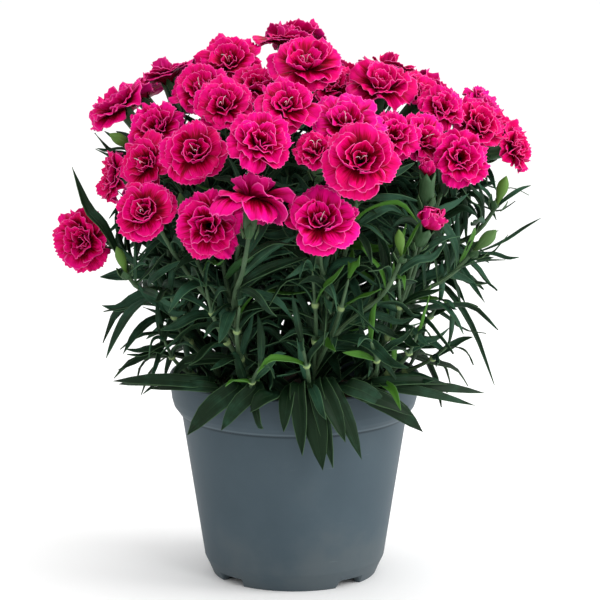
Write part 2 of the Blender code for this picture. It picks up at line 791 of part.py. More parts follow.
def build_pot(finish):
    """The thin-walled pot with its banded rim, its feet and its drain holes."""
    lip = POT_HEIGHT - 0.8 * MM
    profile = [
        (0, FLOOR_UNDERSIDE),
        (FOOT_RING[0] - 1.2 * MM, FLOOR_UNDERSIDE),
        (FOOT_RING[0], 0),
        (FOOT_RING[1], 0),
        (44.6 * MM, FLOOR_UNDERSIDE),
        (WALL_FOOT_RADIUS, WALL_FOOT_HEIGHT),
        (NECK_RADIUS, NECK_HEIGHT),
        (62.6 * MM, NECK_HEIGHT + 4 * MM),
        (RIM_FOOT_RADIUS, NECK_HEIGHT + 7.8 * MM),
        (RIM_RADIUS, lip),
        (RIM_RADIUS - 0.7 * MM, POT_HEIGHT),
        (RIM_RADIUS - 2.1 * MM, POT_HEIGHT),
        (RIM_FOOT_RADIUS - 1.7 * MM, NECK_HEIGHT + 7.0 * MM),
        (NECK_RADIUS - WALL, NECK_HEIGHT),
        (WALL_FOOT_RADIUS - WALL, WALL_FOOT_HEIGHT + 1 * MM),
        (WALL_FOOT_RADIUS - 3.5 * MM, FLOOR_TOP),
        (0, FLOOR_TOP),
    ]
    pot = turned(profile, POT_SIDES, "pot", finish)
    cutters = []
    for k in range(FOOT_COUNT):
        quarter = 2 * math.pi * k / FOOT_COUNT
        cutters.append(notch_cutter(-math.pi / 4 + quarter + FOOT_TURN))
        place = (DRAIN_RING * math.cos(quarter), DRAIN_RING * math.sin(quarter))
        cutters.append(cutter(DRAIN_RADIUS, FLOOR_UNDERSIDE - 2 * MM, FLOOR_TOP + 2 * MM, place))
    return boolean(pot, cutters, "DIFFERENCE")


def build_soil(finish, shoots):
    """The peat that fills the pot, with a plain hole for each shoot."""
    rng = random.Random(SEED)
    inner = NECK_RADIUS - WALL - GAP
    profile = [
        (0, FLOOR_TOP + GAP),
        (WALL_FOOT_RADIUS - 4.2 * MM, FLOOR_TOP + GAP),
        (WALL_FOOT_RADIUS - WALL - 0.5 * MM, WALL_FOOT_HEIGHT + 1.4 * MM),
        (inner - 0.2 * MM, NECK_HEIGHT),
        (inner + 3 * MM, SOIL_TOP - 1 * MM),
        (50 * MM, SOIL_TOP),
        (28 * MM, SOIL_TOP),
        (0, SOIL_TOP),
    ]
    soil = turned(profile, SOIL_SIDES, "soil", finish)
    for vert in soil.data.vertices:
        if vert.co.z > SOIL_TOP - 0.5 * MM:
            vert.co.z += rng.uniform(-1, 1) * SOIL_BUMP
    holes = []
    for shoot in shoots:
        low, high = SOIL_TOP - ROOT_DEPTH, SOIL_TOP + 8 * MM
        holes.append(cutter(MAIN_STEM_RADIUS + GAP, low, high, shoot.root, 6))
    return boolean(soil, holes, "DIFFERENCE")


def keep_main_body(obj):
    """Leaves only the largest connected surface, so that sealed hollows are filled."""
    bm = bmesh.new()
    bm.from_mesh(obj.data)
    left, bodies = set(bm.verts), []
    while left:
        body, front = set(), [left.pop()]
        while front:
            vert = front.pop()
            body.add(vert)
            near = {edge.other_vert(vert) for edge in vert.link_edges} & left
            left -= near
            front += near
        bodies.append(body)
    main_body = max(bodies, key=len)
    bmesh.ops.delete(bm, geom=[v for v in bm.verts if v not in main_body], context="VERTS")
    bm.to_mesh(obj.data)
    bm.free()
    return obj


def build_shoot(name, shoot, finish):
    """One leafy shoot: stems, calyxes, closed buds and leaves in one solid."""
    radii = [MAIN_STEM_RADIUS] * 2 + [1.8 * MM, 1.7 * MM, 1.6 * MM]
    made = new_object(name, tube(shoot.main, radii, STEM_SIDES), finish)
    pieces = [new_object("stalk", tube(*stalk(h, p), STEM_SIDES), None) for h, p in shoot.branches]
    pieces += [new_object("leaf", blade(leaf), None) for leaf in shoot.leaves]
    return keep_main_body(boolean(made, pieces, "UNION", "MANIFOLD"))


def main():
    for obj in list(bpy.data.objects):
        bpy.data.objects.remove(obj)
    plastic = material("grey plastic", (0.10, 0.125, 0.14), 0.45)
    peat = material("dark peat", (0.035, 0.02, 0.013), 0.95)
    green = material("blue-green leaf", (0.03, 0.085, 0.045), 0.55)
    pink = material("deep pink petal", (0.72, 0.01, 0.13), 0.6)
    heads = lay_heads()
    space = Space(LEAF_CLEARANCE)
    shoots = lay_leaves(lay_shoots(heads, space), space)
    build_pot(plastic)
    build_soil(peat, shoots)
    for k, shoot in enumerate(shoots):
        build_shoot(f"shoot_{k + 1:02d}", shoot, green)
    rng = random.Random(SEED + 1)
    blooms = [head for head in heads if head.kind == "open"]
    for k, head in enumerate(blooms):
        petals = rosette(head.radius, rng)
        new_object(f"bloom_{k + 1:02d}", petals, pink, head.seat(), head.axis)
    tufts = [head for head in heads if head.kind == "opening"]
    for k, head in enumerate(tufts):
        new_object(f"bud_tuft_{k + 1}", bud_tuft(head.radius), pink, head.seat(), head.axis)


main()
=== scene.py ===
"""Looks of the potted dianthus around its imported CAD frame."""

import math
import random

import bmesh
import bpy
import numpy as np
from mathutils import Matrix, Vector, noise


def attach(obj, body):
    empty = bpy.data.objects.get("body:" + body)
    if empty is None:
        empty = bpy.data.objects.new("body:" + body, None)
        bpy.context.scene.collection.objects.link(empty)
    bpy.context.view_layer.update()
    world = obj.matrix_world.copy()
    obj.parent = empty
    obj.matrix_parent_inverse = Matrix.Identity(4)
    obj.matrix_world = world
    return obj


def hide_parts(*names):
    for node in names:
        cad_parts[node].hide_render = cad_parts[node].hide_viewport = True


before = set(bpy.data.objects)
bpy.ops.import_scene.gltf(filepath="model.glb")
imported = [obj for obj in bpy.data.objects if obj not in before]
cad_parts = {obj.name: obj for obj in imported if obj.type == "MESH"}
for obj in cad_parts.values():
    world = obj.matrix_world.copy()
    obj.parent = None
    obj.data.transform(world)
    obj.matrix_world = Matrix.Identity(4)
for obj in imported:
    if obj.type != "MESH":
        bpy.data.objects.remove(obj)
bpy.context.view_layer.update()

MM = 0.001
GAP = 0.35 * MM

# Pot
POT_HEIGHT = 106 * MM
RIM_RADIUS = 65 * MM
RIM_FOOT_RADIUS = 63.7 * MM
NECK_RADIUS = 58.7 * MM
NECK_HEIGHT = 85.8 * MM
WALL_FOOT_RADIUS = 46.9 * MM
WALL_FOOT_HEIGHT = 9.5 * MM
WALL = 1.3 * MM
FLOOR_UNDERSIDE = 4.7 * MM
FLOOR_TOP = 6.2 * MM
FOOT_RING = (39.3 * MM, 42.6 * MM)
FOOT_COUNT = 4
FOOT_TURN = math.radians(-3.5)
NOTCH_ANGLE = math.radians(19)
NOTCH_HEIGHT = 4.2 * MM

# Soil
SOIL_TOP = 93 * MM
ROOT_DEPTH = 12 * MM

# The eye that the show side is laid out for, and from these the ways it looks and has up and its place
EYE_DISTANCE = 1800 * MM
EYE_LIFT = math.radians(11.6)
EYE_AIM = (2.9 * MM, 141.3 * MM)
SIGHT = Vector((0, math.cos(EYE_LIFT), -math.sin(EYE_LIFT)))
SIGHT_UP = Vector((0, math.sin(EYE_LIFT), math.cos(EYE_LIFT)))
EYE = Vector((EYE_AIM[0], 0, 0)) + EYE_AIM[1] * SIGHT_UP - EYE_DISTANCE * SIGHT

# The dome that the blooms sit on: half sizes across, deep and high, and its middle
DOME = (125 * MM, 105 * MM, 120 * MM)
DOME_MIDDLE = Vector((0, 8 * MM, 165 * MM))
# How far leaves may reach to either side, and to the front and back
SPREAD = (105 * MM, 100 * MM)

# Show side, in mm and degrees: across and up as the eye sees them, diameter,
# the way the face is turned (0 to the eye, 90 to +X) and lifted, and how far behind the dome
SHOW_BLOOMS = (
    (-5, 280, 35, 180, 79, 24),
    (6, 267, 39, 0, 52, 0),
    (-35, 268, 37, -14, 46, 2),
    (-68, 261, 33, -125, 66, 20),
    (-93, 245, 34, -80, 52, 12),
    (-50, 254, 34, -20, 46, 14),
    (-38, 245, 34, -5, 38, 0),
    (-19, 256, 33, 0, 60, 14),
    (-4, 245, 34, 10, 40, 0),
    (-74, 233, 30, -28, 38, 8),
    (-80, 214, 31, -38, 24, 2),
    (-53, 220, 37, -10, 28, 0),
    (-18, 226, 35, 14, 34, 2),
    (-80, 189, 34, -20, 30, 0),
    (-112.5, 172, 35, -28, 6, 38),
    (-46, 180, 37, -9, 8, 0),
    (-22, 199, 38, 160, 76, -8),
    (14, 184, 40, 4, 38, 0),
    (-98, 207, 28, -72, 10, 16),
    (27, 236, 40, 6, 56, 6),
    (35, 216, 41, 0, 28, 0),
    (46, 256, 40, 20, 62, 2),
    (50, 266, 34, 150, 74, 26),
    (19, 256, 32, 10, 50, 20),
    (68, 250, 33, 60, 50, 14),
    (79, 244, 28, 28, 44, 2),
    (69, 227, 30, 38, 30, 10),
    (88, 217, 32, 16, 24, 0),
    (98, 235, 31, 34, 38, 0),
    (102, 246, 25, 74, 46, 18),
    (119, 222, 26, 62, 16, 4),
    (111, 233, 26, 62, 42, 10),
    (53, 229, 29, 20, 36, 12),
    (11, 223, 25, -4, 52, 16),
)
# Back of the dome: blooms in each row, the row's height angle, its first bloom's turn and its span
BACK_ROWS = ((5, 16, 138, 84), (4, 42, 118, 124), (1, 68, 180, 0))
BACK_DIAMETER = 36

# Opening buds, a pink tuft in a green calyx: as the show blooms
OPENING_BUDS = ((70, 180, 13, 24, 44, 0), (70, 207, 8, 8, 74, 6))
# Closed buds, all green
CLOSED_BUDS = (
    (-96, 228, 8, -60, 30, 0),
    (105, 177, 9, 58, 44, 0),
    (55, 177, 7, -10, 60, -4),
    (-93, 168, 7, -30, 60, 4),
    (111, 205, 8, 40, 66, 6),
    (17, 198, 8, 10, 70, 10),
    (-60, 196, 7, -20, 70, 8),
)

# Calyx, and how far a bloom's middle is above it
CALYX_LENGTH = 17 * MM
CALYX_RADIUS = 4.1 * MM
BLOOM_MIDDLE = 6 * MM
# Rings of balls that fill a bloom: how many, their ring and their size in bloom radii, their height in mm
BLOOM_BALLS = ((16, 0.84, 0.22, 4.5), (10, 0.62, 0.27, 7.5), (7, 0.3, 0.28, 9.5))

# Shoots: roots on each ring in the soil, the ring's radius and its first root's turn
ROOT_RINGS = ((4, 15 * MM, 0.6), (8, 38 * MM, 0.2))
ROOT_SHARE = 0.36
FORK_SHARE = 0.5

# Leaves: length and half width from the foot of a shoot to its top
LEAF_LENGTH = (74 * MM, 34 * MM)
LEAF_HALF_WIDTH = (4.7 * MM, 2.4 * MM)
LEAF_TWIST = 0.75
LEAF_SPACING = 30 * MM
LEAF_CLEARANCE = 3.3 * MM
LEAF_TRIES = 20
LEAF_FOOT = 3.6 * MM
LEAF_FREE = 9 * MM
LEAF_FOOT_OFFSET = 0.45 * MM
FOOT_SHARE = 0.16
BRANCH_TRIES = 80
# Leaves that hang over the rim: turn in degrees, then in mm the reach past the rim, the drop below it
# and the half width
SKIRT_LEAVES = (
    (11, 5, 39, 6.2), (-44, 8, 25, 5.0), (-29, 6, 20, 4.2), (27, 5, 35, 4.2), (3, 5, 31, 3.8),
    (19, 9, 24, 4.6), (-4, 8, 18, 3.8), (55, 10, 26, 5.0), (38, 9, 10, 4.4), (-16, 10, 8, 4.4),
    (15, 5, 38, 3.6), (-68, 30, 1, 4.4), (-60, 15, 4, 4.0), (-81, 22, 8, 4.2), (72, 43, 3, 4.2),
    (66, 31, 13, 3.6), (61, 19, 1, 4.2), (47, 13, 15, 3.6), (80, 30, 12, 3.6),
)
BACK_SKIRT_COUNT = 15
SKIRT_TRIES = 12
SKIRT_CLEARANCE = 5 * MM

SEED = 29


def unit(vector):
    return Vector(vector).normalized()


def facing(turn, lift):
    """The direction turned from -Y towards +X, and lifted above the horizon, both in degrees."""
    t, e = math.radians(turn), math.radians(lift)
    return Vector((math.sin(t) * math.cos(e), -math.cos(t) * math.cos(e), math.sin(e)))


def sight_point(across, up, depth):
    """The point that the eye sees at (across, up), at this depth behind the pot's axis."""
    ray = Vector((across, 0, 0)) + up * SIGHT_UP - EYE
    return EYE + ray * (EYE_DISTANCE + depth) / EYE_DISTANCE


def dome_depth(across, up):
    """How far in front of the pot's axis the dome is where the eye sees (across, up)."""
    depth = 0.0
    for _ in range(6):
        point = sight_point(across, up, depth)
        height = (point.z - DOME_MIDDLE.z) / DOME[2]
        left = max(0.03, 1 - (point.x / DOME[0]) ** 2 - height * height)
        depth += 0.6 * (DOME_MIDDLE.y - DOME[1] * math.sqrt(left) - point.y)
    return depth


def side_axes(axis):
    """Two directions at right angles to an axis and to each other, the first one level."""
    across = Vector((0, 0, 1)).cross(axis)
    if across.length < 1e-4:
        across = Vector((1, 0, 0))
    across.normalize()
    return across, axis.cross(across).normalized()


def around(turn, first, second):
    """The direction turned by this angle from the first of two directions towards the second."""
    return math.cos(turn) * first + math.sin(turn) * second


class Head:
    """A bloom or a bud: where its middle is, the way it faces, and how it may be moved aside."""

    def __init__(self, middle, axis, diameter, kind, slide):
        self.middle, self.axis, self.kind, self.slide = middle, axis, kind, slide
        self.radius = diameter / 2
        self.lift = BLOOM_MIDDLE if kind == "open" else 0.0

    def seat(self):
        """Where the petals sit on the calyx."""
        return self.middle - self.lift * self.axis

    def calyx_base(self):
        return self.seat() - CALYX_LENGTH * self.axis

    def balls(self):
        """Balls, as rows of centre and radius, that fill the petals and the calyx."""
        level, steep = side_axes(self.axis)
        seat, rows = self.seat(), []
        if self.kind == "open":
            for count, share, size, high in BLOOM_BALLS:
                for k in range(count):
                    a = 2 * math.pi * k / count
                    side = self.radius * share * around(a, level, steep)
                    rows.append((*(seat + side + high * MM * self.axis), size * self.radius))
        for step in range(5):
            rows.append((*(seat - 0.22 * step * CALYX_LENGTH * self.axis), 1.1 * CALYX_RADIUS))
        return np.array(rows)


def overlap(first, second):
    """How deep the balls of one head reach into the other's."""
    apart = np.linalg.norm(first[:, None, :3] - second[None, :, :3], axis=2)
    return float((first[:, None, 3] + second[None, :, 3] - apart).max())


def part_heads(heads):
    """Moves heads that touch apart: on the show side along the line of sight, else sideways."""
    for _ in range(160):
        worst = 0.0
        balls = [head.balls() for head in heads]
        for i, first in enumerate(heads):
            for j in range(i + 1, len(heads)):
                second = heads[j]
                between = second.middle - first.middle
                if between.length > first.radius + second.radius + CALYX_LENGTH + 8 * MM:
                    continue
                deep = overlap(balls[i], balls[j])
                if deep <= 0:
                    continue
                worst = max(worst, deep)
                for head, way in ((first, -1), (second, 1)):
                    if head.slide == "sight":
                        order = math.copysign(1, between.y) * way
                        head.middle += 0.3 * deep * order * unit(head.middle - EYE)
                    else:
                        head.middle += 0.3 * deep * way * between.normalized()
        if worst < 0.1 * MM:
            break
    return heads


def lay_heads():
    """All blooms and buds, clear of each other."""
    heads = []
    for kind, rows in (("open", SHOW_BLOOMS), ("opening", OPENING_BUDS), ("closed", CLOSED_BUDS)):
        for across, up, diameter, turn, lift, behind in rows:
            across, up = across * MM, up * MM
            depth = dome_depth(across, up) + behind * MM
            middle = sight_point(across, up, depth)
            size = diameter * MM * (EYE_DISTANCE + depth) / EYE_DISTANCE
            heads.append(Head(middle, facing(turn, lift), size, kind, "sight"))
    for count, lift, first, span in BACK_ROWS:
        for k in range(count):
            turn = first + span * k / max(1, count - 1)
            way = facing(turn, lift)
            place = DOME_MIDDLE + Vector(way[i] * DOME[i] for i in range(3))
            heads.append(Head(place, way, BACK_DIAMETER * MM, "open", "side"))
    return part_heads(heads)


def curve_points(start, start_way, end, end_way, count):
    """Points on a smooth curve that leaves start and reaches end along the given vectors."""
    points = []
    for k in range(count):
        t = k / (count - 1)
        h = ((1 - t) ** 3, 3 * t * (1 - t) ** 2, 3 * t * t * (1 - t), t**3)
        points.append(
            h[0] * start + h[1] * (start + start_way) + h[2] * (end - end_way) + h[3] * end
        )
    return points


def point_along(points, share):
    """The point and the direction at this share of a path's points."""
    at = min(len(points) - 1.001, share * (len(points) - 1))
    k = int(at)
    step = points[k + 1] - points[k]
    return points[k] + (at - k) * step, step.normalized()


def stem_frames(points):
    """A direction square to the path at each of its points, turned as little as can be."""
    frames, across = [], None
    for k in range(len(points)):
        along = unit(points[min(k + 1, len(points) - 1)] - points[max(k - 1, 0)])
        if across is None:
            across = side_axes(along)[0]
        across = unit(across - across.dot(along) * along)
        frames.append(across)
    return frames


class Space:
    """A grid of sample points of what is already there, to keep new leaves clear of it."""

    def __init__(self, cell):
        self.cell, self.cells = cell, {}

    def key(self, point):
        return tuple(math.floor(x / self.cell) for x in point)

    def add(self, points, owner):
        for point in points:
            self.cells.setdefault(self.key(point), []).append((tuple(point), owner))

    def clashes(self, points, *own):
        """How many points come within a cell's size of one that none of these owners has."""
        reach, count = self.cell * self.cell, 0
        for x, y, z in points:
            i, j, k = self.key((x, y, z))
            count += any(
                other not in own and (a - x) ** 2 + (b - y) ** 2 + (c - z) ** 2 < reach
                for di in (-1, 0, 1)
                for dj in (-1, 0, 1)
                for dk in (-1, 0, 1)
                for (a, b, c), other in self.cells.get((i + di, j + dj, k + dk), ())
            )
        return count


def path_samples(points, step):
    """Points every step along a path."""
    samples = []
    for a, b in zip(points, points[1:]):
        count = max(1, math.ceil((b - a).length / step))
        samples += [a.lerp(b, k / count) for k in range(count)]
    return samples + [points[-1]]


def head_samples(head):
    """Points over the petals and the calyx of a head."""
    level, steep = side_axes(head.axis)
    seat, samples = head.seat(), []
    rings = [(CALYX_RADIUS * 0.9, -x * CALYX_LENGTH) for x in (0.05, 0.3, 0.55, 0.8)]
    if head.kind == "open":
        rings += [(head.radius * s, h * MM) for s, h in ((0.3, 2), (0.55, 3), (0.8, 3.5), (0.97, 3.5))]
        rings += [(head.radius * s, h * MM) for s, h in ((0.8, 7), (0.6, 8.5), (0.4, 11), (0.15, 10))]
    elif head.kind == "opening":
        rings += [(head.radius * 0.7, 4 * MM), (0, 9 * MM)]
    else:
        rings += [(0, 4 * MM)]
    for radius, high in rings:
        count = max(1, math.ceil(2 * math.pi * radius / (2.6 * MM)))
        for k in range(count):
            a = 2 * math.pi * k / count
            side = radius * around(a, level, steep)
            samples.append(seat + side + high * head.axis)
    return samples


class Leaf:
    """A blade: the points of its midrib, the direction across it at its foot, and its half width."""

    def __init__(self, path, across, half_width):
        self.path, self.across, self.half_width = path, across, half_width

    def samples(self):
        """Points over the blade near its foot, but outside the stem, and over the rest of it."""
        points = path_samples(self.path, 3 * MM)
        last = len(points) - 1
        near, far = [], []
        for k, point in enumerate(points):
            away = (point - points[0]).length
            if away < LEAF_FOOT:
                continue
            wide = self.half_width * leaf_width(k / last)
            found = near if away < LEAF_FREE else far
            found.append(point)
            if wide > 1.2 * MM:
                found += [point + 0.8 * wide * self.across, point - 0.8 * wide * self.across]
        return near, far


def leaf_width(share):
    """The blade's half width, as a share of its widest, from foot to tip."""
    swell = FOOT_SHARE + (1 - FOOT_SHARE) * min(1.0, 3.2 * share)
    return swell * max(0.0, 1 - max(0.0, share - 0.45) ** 1.6 * 2.6)


def leaf_path(start, way, out, length, droop, count=5):
    """A midrib that starts along way, leans out and then droops."""
    points, step = [start], length / (count - 1)
    for k in range(count - 1):
        share = (k + 0.5) / (count - 1)
        bend = way.lerp(out, min(1.0, 1.25 * share))
        bend = bend + Vector((0, 0, -1)) * droop * share * share
        points.append(points[-1] + step * bend.normalized())
    return points


def in_pot_or_soil(point):
    """True where a leaf would run into the pot or the soil."""
    radius = math.hypot(point[0], point[1])
    if point[2] > POT_HEIGHT + 2.5 * MM:
        return False
    if radius < RIM_RADIUS - 5 * MM:
        return point[2] < SOIL_TOP + 3.5 * MM
    return radius < RIM_RADIUS + 2.8 * MM


def in_spread(point):
    """True within the plant's spread, which leaves don't pass."""
    return abs(point[0]) < SPREAD[0] and abs(point[1]) < SPREAD[1]


class Shoot:
    """A leafy shoot: its main stem, its branches to heads, and its leaves."""

    def __init__(self, root):
        self.root, self.heads, self.main, self.branches, self.leaves = root, [], [], [], []


def lay_shoots(heads, space):
    """Shoots from their roots in the soil to the heads, without leaves yet."""
    rng = random.Random(SEED + 2)
    for k, head in enumerate(heads):
        space.add(head_samples(head), ("head", k))
    shoots = []
    for count, radius, first in ROOT_RINGS:
        for k in range(count):
            a = first + 2 * math.pi * k / count
            shoots.append(Shoot(Vector((radius * math.cos(a), radius * math.sin(a), SOIL_TOP))))
    for head in heads:
        base = head.calyx_base()
        under = Vector((base.x, base.y, 0)) * ROOT_SHARE
        nearest = min(shoots, key=lambda s: (Vector((s.root.x, s.root.y, 0)) - under).length)
        nearest.heads.append(head)
    for index, shoot in enumerate(shoots):
        bases = [head.calyx_base() for head in shoot.heads]
        target = sum(bases, Vector()) / len(bases)
        fork = shoot.root.lerp(target, FORK_SHARE)
        rise = Vector((0, 0, 0.4 * (fork.z - shoot.root.z)))
        foot = shoot.root - Vector((0, 0, ROOT_DEPTH - GAP))
        shoot.main = [foot] + curve_points(shoot.root, rise, fork, 0.3 * (target - shoot.root), 4)
        space.add(path_samples(shoot.main, 2.5 * MM), index)
        order = sorted(shoot.heads, key=lambda h: (h.calyx_base() - fork).length)
        for k, head in enumerate(order):
            share = 0.97 - 0.13 * ((k * 2) % 5) / 2
            own_head = ("head", heads.index(head))
            points = bent_clear(shoot.main, share, head, space, own_head, index, rng)
            shoot.branches.append((head, points))
    return shoots


def bent_clear(main, share, head, space, own_head, own_shoot, rng):
    """A branch from the main stem to a head's calyx, bent until it clears the rest."""
    base = head.calyx_base()
    best, fewest = None, math.inf
    for attempt in range(BRANCH_TRIES):
        start, along = point_along(main, share - 0.005 * attempt)
        reach = (base - start).length
        loose = 0.03 * attempt
        side = Vector([rng.uniform(-loose, loose) for _ in range(3)])
        lean = unit(head.axis + Vector((0, 0, 0.7)) + side)
        points = curve_points(start, 0.35 * reach * unit(along + side), base, 0.3 * reach * lean, 4)
        samples = path_samples(points, 2.5 * MM)[:-1]
        count = space.clashes(samples, own_shoot, own_head)
        if count < fewest:
            best, fewest = points, count
        if not count:
            break
    space.add(path_samples(best, 2.5 * MM)[:-1], own_shoot)
    return best


def add_leaf(shoot, space, rng, owner, start, along, out, share):
    """Grows one leaf from a stem, bent clear of its neighbours, or leaves it out."""
    for attempt in range(LEAF_TRIES):
        spread = 0.08 + 0.06 * attempt
        turned = unit(Matrix.Rotation(rng.uniform(-spread, spread), 3, along) @ out)
        lean = rng.uniform(0.35, 0.75)
        length = LEAF_LENGTH[0] + (LEAF_LENGTH[1] - LEAF_LENGTH[0]) * share
        length *= rng.uniform(0.85, 1.1) * (1 - 0.03 * attempt)
        half = LEAF_HALF_WIDTH[0] + (LEAF_HALF_WIDTH[1] - LEAF_HALF_WIDTH[0]) * share
        way = unit(along * math.cos(lean) + turned * math.sin(lean))
        foot = start + LEAF_FOOT_OFFSET * turned
        path = leaf_path(foot, way, unit(turned + 0.25 * along), length, rng.uniform(0.1, 1.1))
        twist = Matrix.Rotation(rng.uniform(-LEAF_TWIST, LEAF_TWIST), 3, way)
        leaf = Leaf(path, unit(twist @ along.cross(turned)), half * rng.uniform(0.9, 1.08))
        if keep_leaf(shoot, space, owner, leaf):
            return


def keep_leaf(shoot, space, owner, leaf, may_cross=()):
    """Takes a leaf onto its shoot, unless it would run into something that it may not cross."""
    near, far = leaf.samples()
    if any(in_pot_or_soil(p) or not in_spread(p) for p in near + far):
        return False
    if space.clashes(near, owner, *may_cross) or space.clashes(far, *may_cross):
        return False
    space.add(near + far, (owner, "skirt" if may_cross else len(shoot.leaves)))
    shoot.leaves.append(leaf)
    return True


def lay_skirt(shoots, space, rng):
    """Broad leaves from the foot of the outer shoots that hang over the rim."""
    rows = list(SKIRT_LEAVES)
    for k in range(BACK_SKIRT_COUNT):
        turn = 92 + 176 * k / (BACK_SKIRT_COUNT - 1)
        rows.append((turn, rng.uniform(10, 30), rng.uniform(2, 34), rng.uniform(3.6, 5)))
    over = RIM_RADIUS + SKIRT_CLEARANCE
    for number, (turn, reach, drop, half_width) in enumerate(rows):
        for attempt in range(SKIRT_TRIES):
            way = facing(turn + rng.uniform(-0.7, 0.7) * attempt, 0)
            index = max(range(len(shoots)), key=lambda i: shoots[i].root.dot(way))
            start, _ = point_along(shoots[index].main, 0.27 + 0.05 * (number % 4))
            lip = way * over + Vector((0, 0, POT_HEIGHT + rng.uniform(4, 9) * MM))
            tip = way * (over + reach * MM) + Vector((0, 0, POT_HEIGHT + (5 - drop) * MM))
            path = [start, start.lerp(lip, 0.5) + Vector((0, 0, 6 * MM)), lip, lip.lerp(tip, 0.5), tip]
            path[3] += (3 * MM) * way + Vector((0, 0, 3 * MM))
            leaf = Leaf(path, unit(way.cross(Vector((0, 0, 1)))), half_width * MM)
            if keep_leaf(shoots[index], space, index, leaf, (index, (index, "skirt"))):
                break


def lay_leaves(shoots, space):
    """Opposite pairs of leaves up every stem, each pair square to the last."""
    rng = random.Random(SEED)
    lay_skirt(shoots, space, rng)
    for index, shoot in enumerate(shoots):
        stems = [(shoot.main, 0.28, 0.95, 0.0, 0.5)]
        stems += [(points, 0.22, 0.8, 0.5, 1.0) for _, points in shoot.branches]
        for path, first, last, low, high in stems:
            length = sum((b - a).length for a, b in zip(path, path[1:]))
            pairs = max(1, round((last - first) * length / LEAF_SPACING))
            frames = stem_frames(path)
            for pair in range(pairs):
                share = pair / max(1, pairs - 1)
                at = first + (last - first) * share
                start, along = point_along(path, at)
                across = frames[min(len(frames) - 1, round(at * (len(path) - 1)))]
                across = unit(across - across.dot(along) * along)
                pair_way = across if pair % 2 else along.cross(across)
                for out in (pair_way, -pair_way):
                    up_the_shoot = low + (high - low) * share
                    add_leaf(shoot, space, rng, index, start, along, out, up_the_shoot)
    return shoots


# Looks only from here on

# Camera: its lens and its sensor's width in mm, and the far end of its view in m
LENS, SENSOR, VIEW_END = 205.3, 36, 20
# Soft round lights: their name, place in m, size in m and watts
LIGHTS = (
    ("key", (1.9, -0.4, 0.8), 1.3, 27),
    ("front", (0.8, -1.3, 1.3), 0.6, 5),
    ("top", (0.1, 0.3, 1.5), 0.9, 5),
)
LIGHTS_AIM = Vector((0, 0, 0.15))
SURROUND_STRENGTH = 1.02
FLOOR_RADIUS = 6

# Nearly a full, a half and a quarter turn, for random turns
ANY_TURN, HALF_TURN, QUARTER_TURN = 6.28, 3.1, 1.57

# Which of its materials a face has: 0 is a petal's face in a bloom and a leaf in a spray
UNDERSIDE, STYLE = 1, 2
STEM, CALYX = 1, 2

# Petals of a bloom, ring by ring from the outside: how many, length and half width in bloom radii, lift
# at the foot and further out in degrees, curl across in radians, ruffle in mm, columns and rows of faces,
# and how much the margin turns up in degrees
PETAL_RINGS = {
    "open": (
        (5, 1.00, 0.55, 70, 0, 0.15, 1.5, 18, 7, -10),
        (5, 0.88, 0.47, 72, 20, 0.3, 1.2, 16, 6, 0),
        (4, 0.66, 0.36, 76, 44, 0.7, 1.0, 12, 6, 10),
        (3, 0.42, 0.24, 80, 70, 1.0, 0.6, 8, 5, 0),
    ),
    "cups": (
        (5, 1.00, 0.56, 70, -4, 0.15, 1.3, 18, 7, -12),
        (5, 0.92, 0.48, 72, 14, 0.3, 1.2, 16, 6, 0),
        (2, 0.84, 0.58, 64, 34, 1.4, 0.8, 18, 7, 42),
        (3, 0.60, 0.36, 78, 54, 1.1, 0.8, 12, 6, 16),
        (3, 0.42, 0.24, 80, 76, 1.0, 0.5, 8, 5, 0),
    ),
    "full": (
        (6, 1.00, 0.48, 70, 0, 0.2, 1.7, 18, 7, -14),
        (5, 0.90, 0.46, 72, 20, 0.5, 1.6, 16, 6, 0),
        (5, 0.76, 0.37, 76, 44, 0.9, 1.3, 12, 6, 14),
        (4, 0.58, 0.27, 80, 68, 1.2, 0.9, 10, 5, 10),
    ),
    "dish": (
        (6, 1.00, 0.52, 82, -2, 0.05, 0.6, 18, 7, -2),
        (6, 0.90, 0.45, 80, 5, 0.1, 0.7, 16, 6, 0),
        (7, 0.66, 0.26, 84, 80, 0.9, 0.9, 10, 6, 0),
    ),
    "nodding": (
        (5, 1.24, 0.60, 60, -38, 0.3, 1.5, 18, 7, -45),
        (5, 1.04, 0.50, 70, -8, 0.4, 1.7, 16, 6, -25),
        (5, 0.84, 0.40, 76, 40, 0.6, 1.4, 12, 6, 0),
        (4, 0.70, 0.30, 80, 70, 1.0, 1.0, 10, 5, 10),
    ),
    # The furled petals of an opening bud, with lengths in bud radii
    "tuft": (
        (6, 2.2, 1.2, 48, 78, 1.0, 0.6, 12, 6, 66),
        (5, 1.95, 0.85, 74, 92, 1.2, 0.9, 10, 6, 34),
    ),
}
# The form of each bloom, in the order of SHOW_BLOOMS and then of BACK_ROWS
FORMS = {"a": "open", "b": "cups", "c": "full", "d": "dish", "e": "nodding"}
SHOW_FORMS = "dbadcaacacabcbccebcabcdcccacccccca"
BACK_FORMS = "cabcacbcac"
# Blooms that open wider than their solid, by number
WIDER = {4: 1.2, 5: 1.2, 10: 1.1, 11: 1.08, 17: 1.05, 20: 1.06, 25: 1.1, 27: 1.08}
PETAL_THICKNESS = 0.22 * MM
PETAL_FOOT = 1.2 * MM
PETAL_STEPS = 16
TOOTH = 0.7 * MM
CRUMPLE = 1.1 * MM
STYLE_HEIGHT = 9.5 * MM

# Leaf blades: faces across and along, thickness, and their width as a share of the solid's. Rim leaves
# keep more of it within RIM_WIDE of the show side's middle than beyond
LEAF_COLUMNS, LEAF_ROWS = 4, 10
BLADE_THICKNESS = 0.35 * MM
NARROWED = 0.85
RIM_SHARES = (1.02, 0.72)
RIM_WIDE = 68 * MM

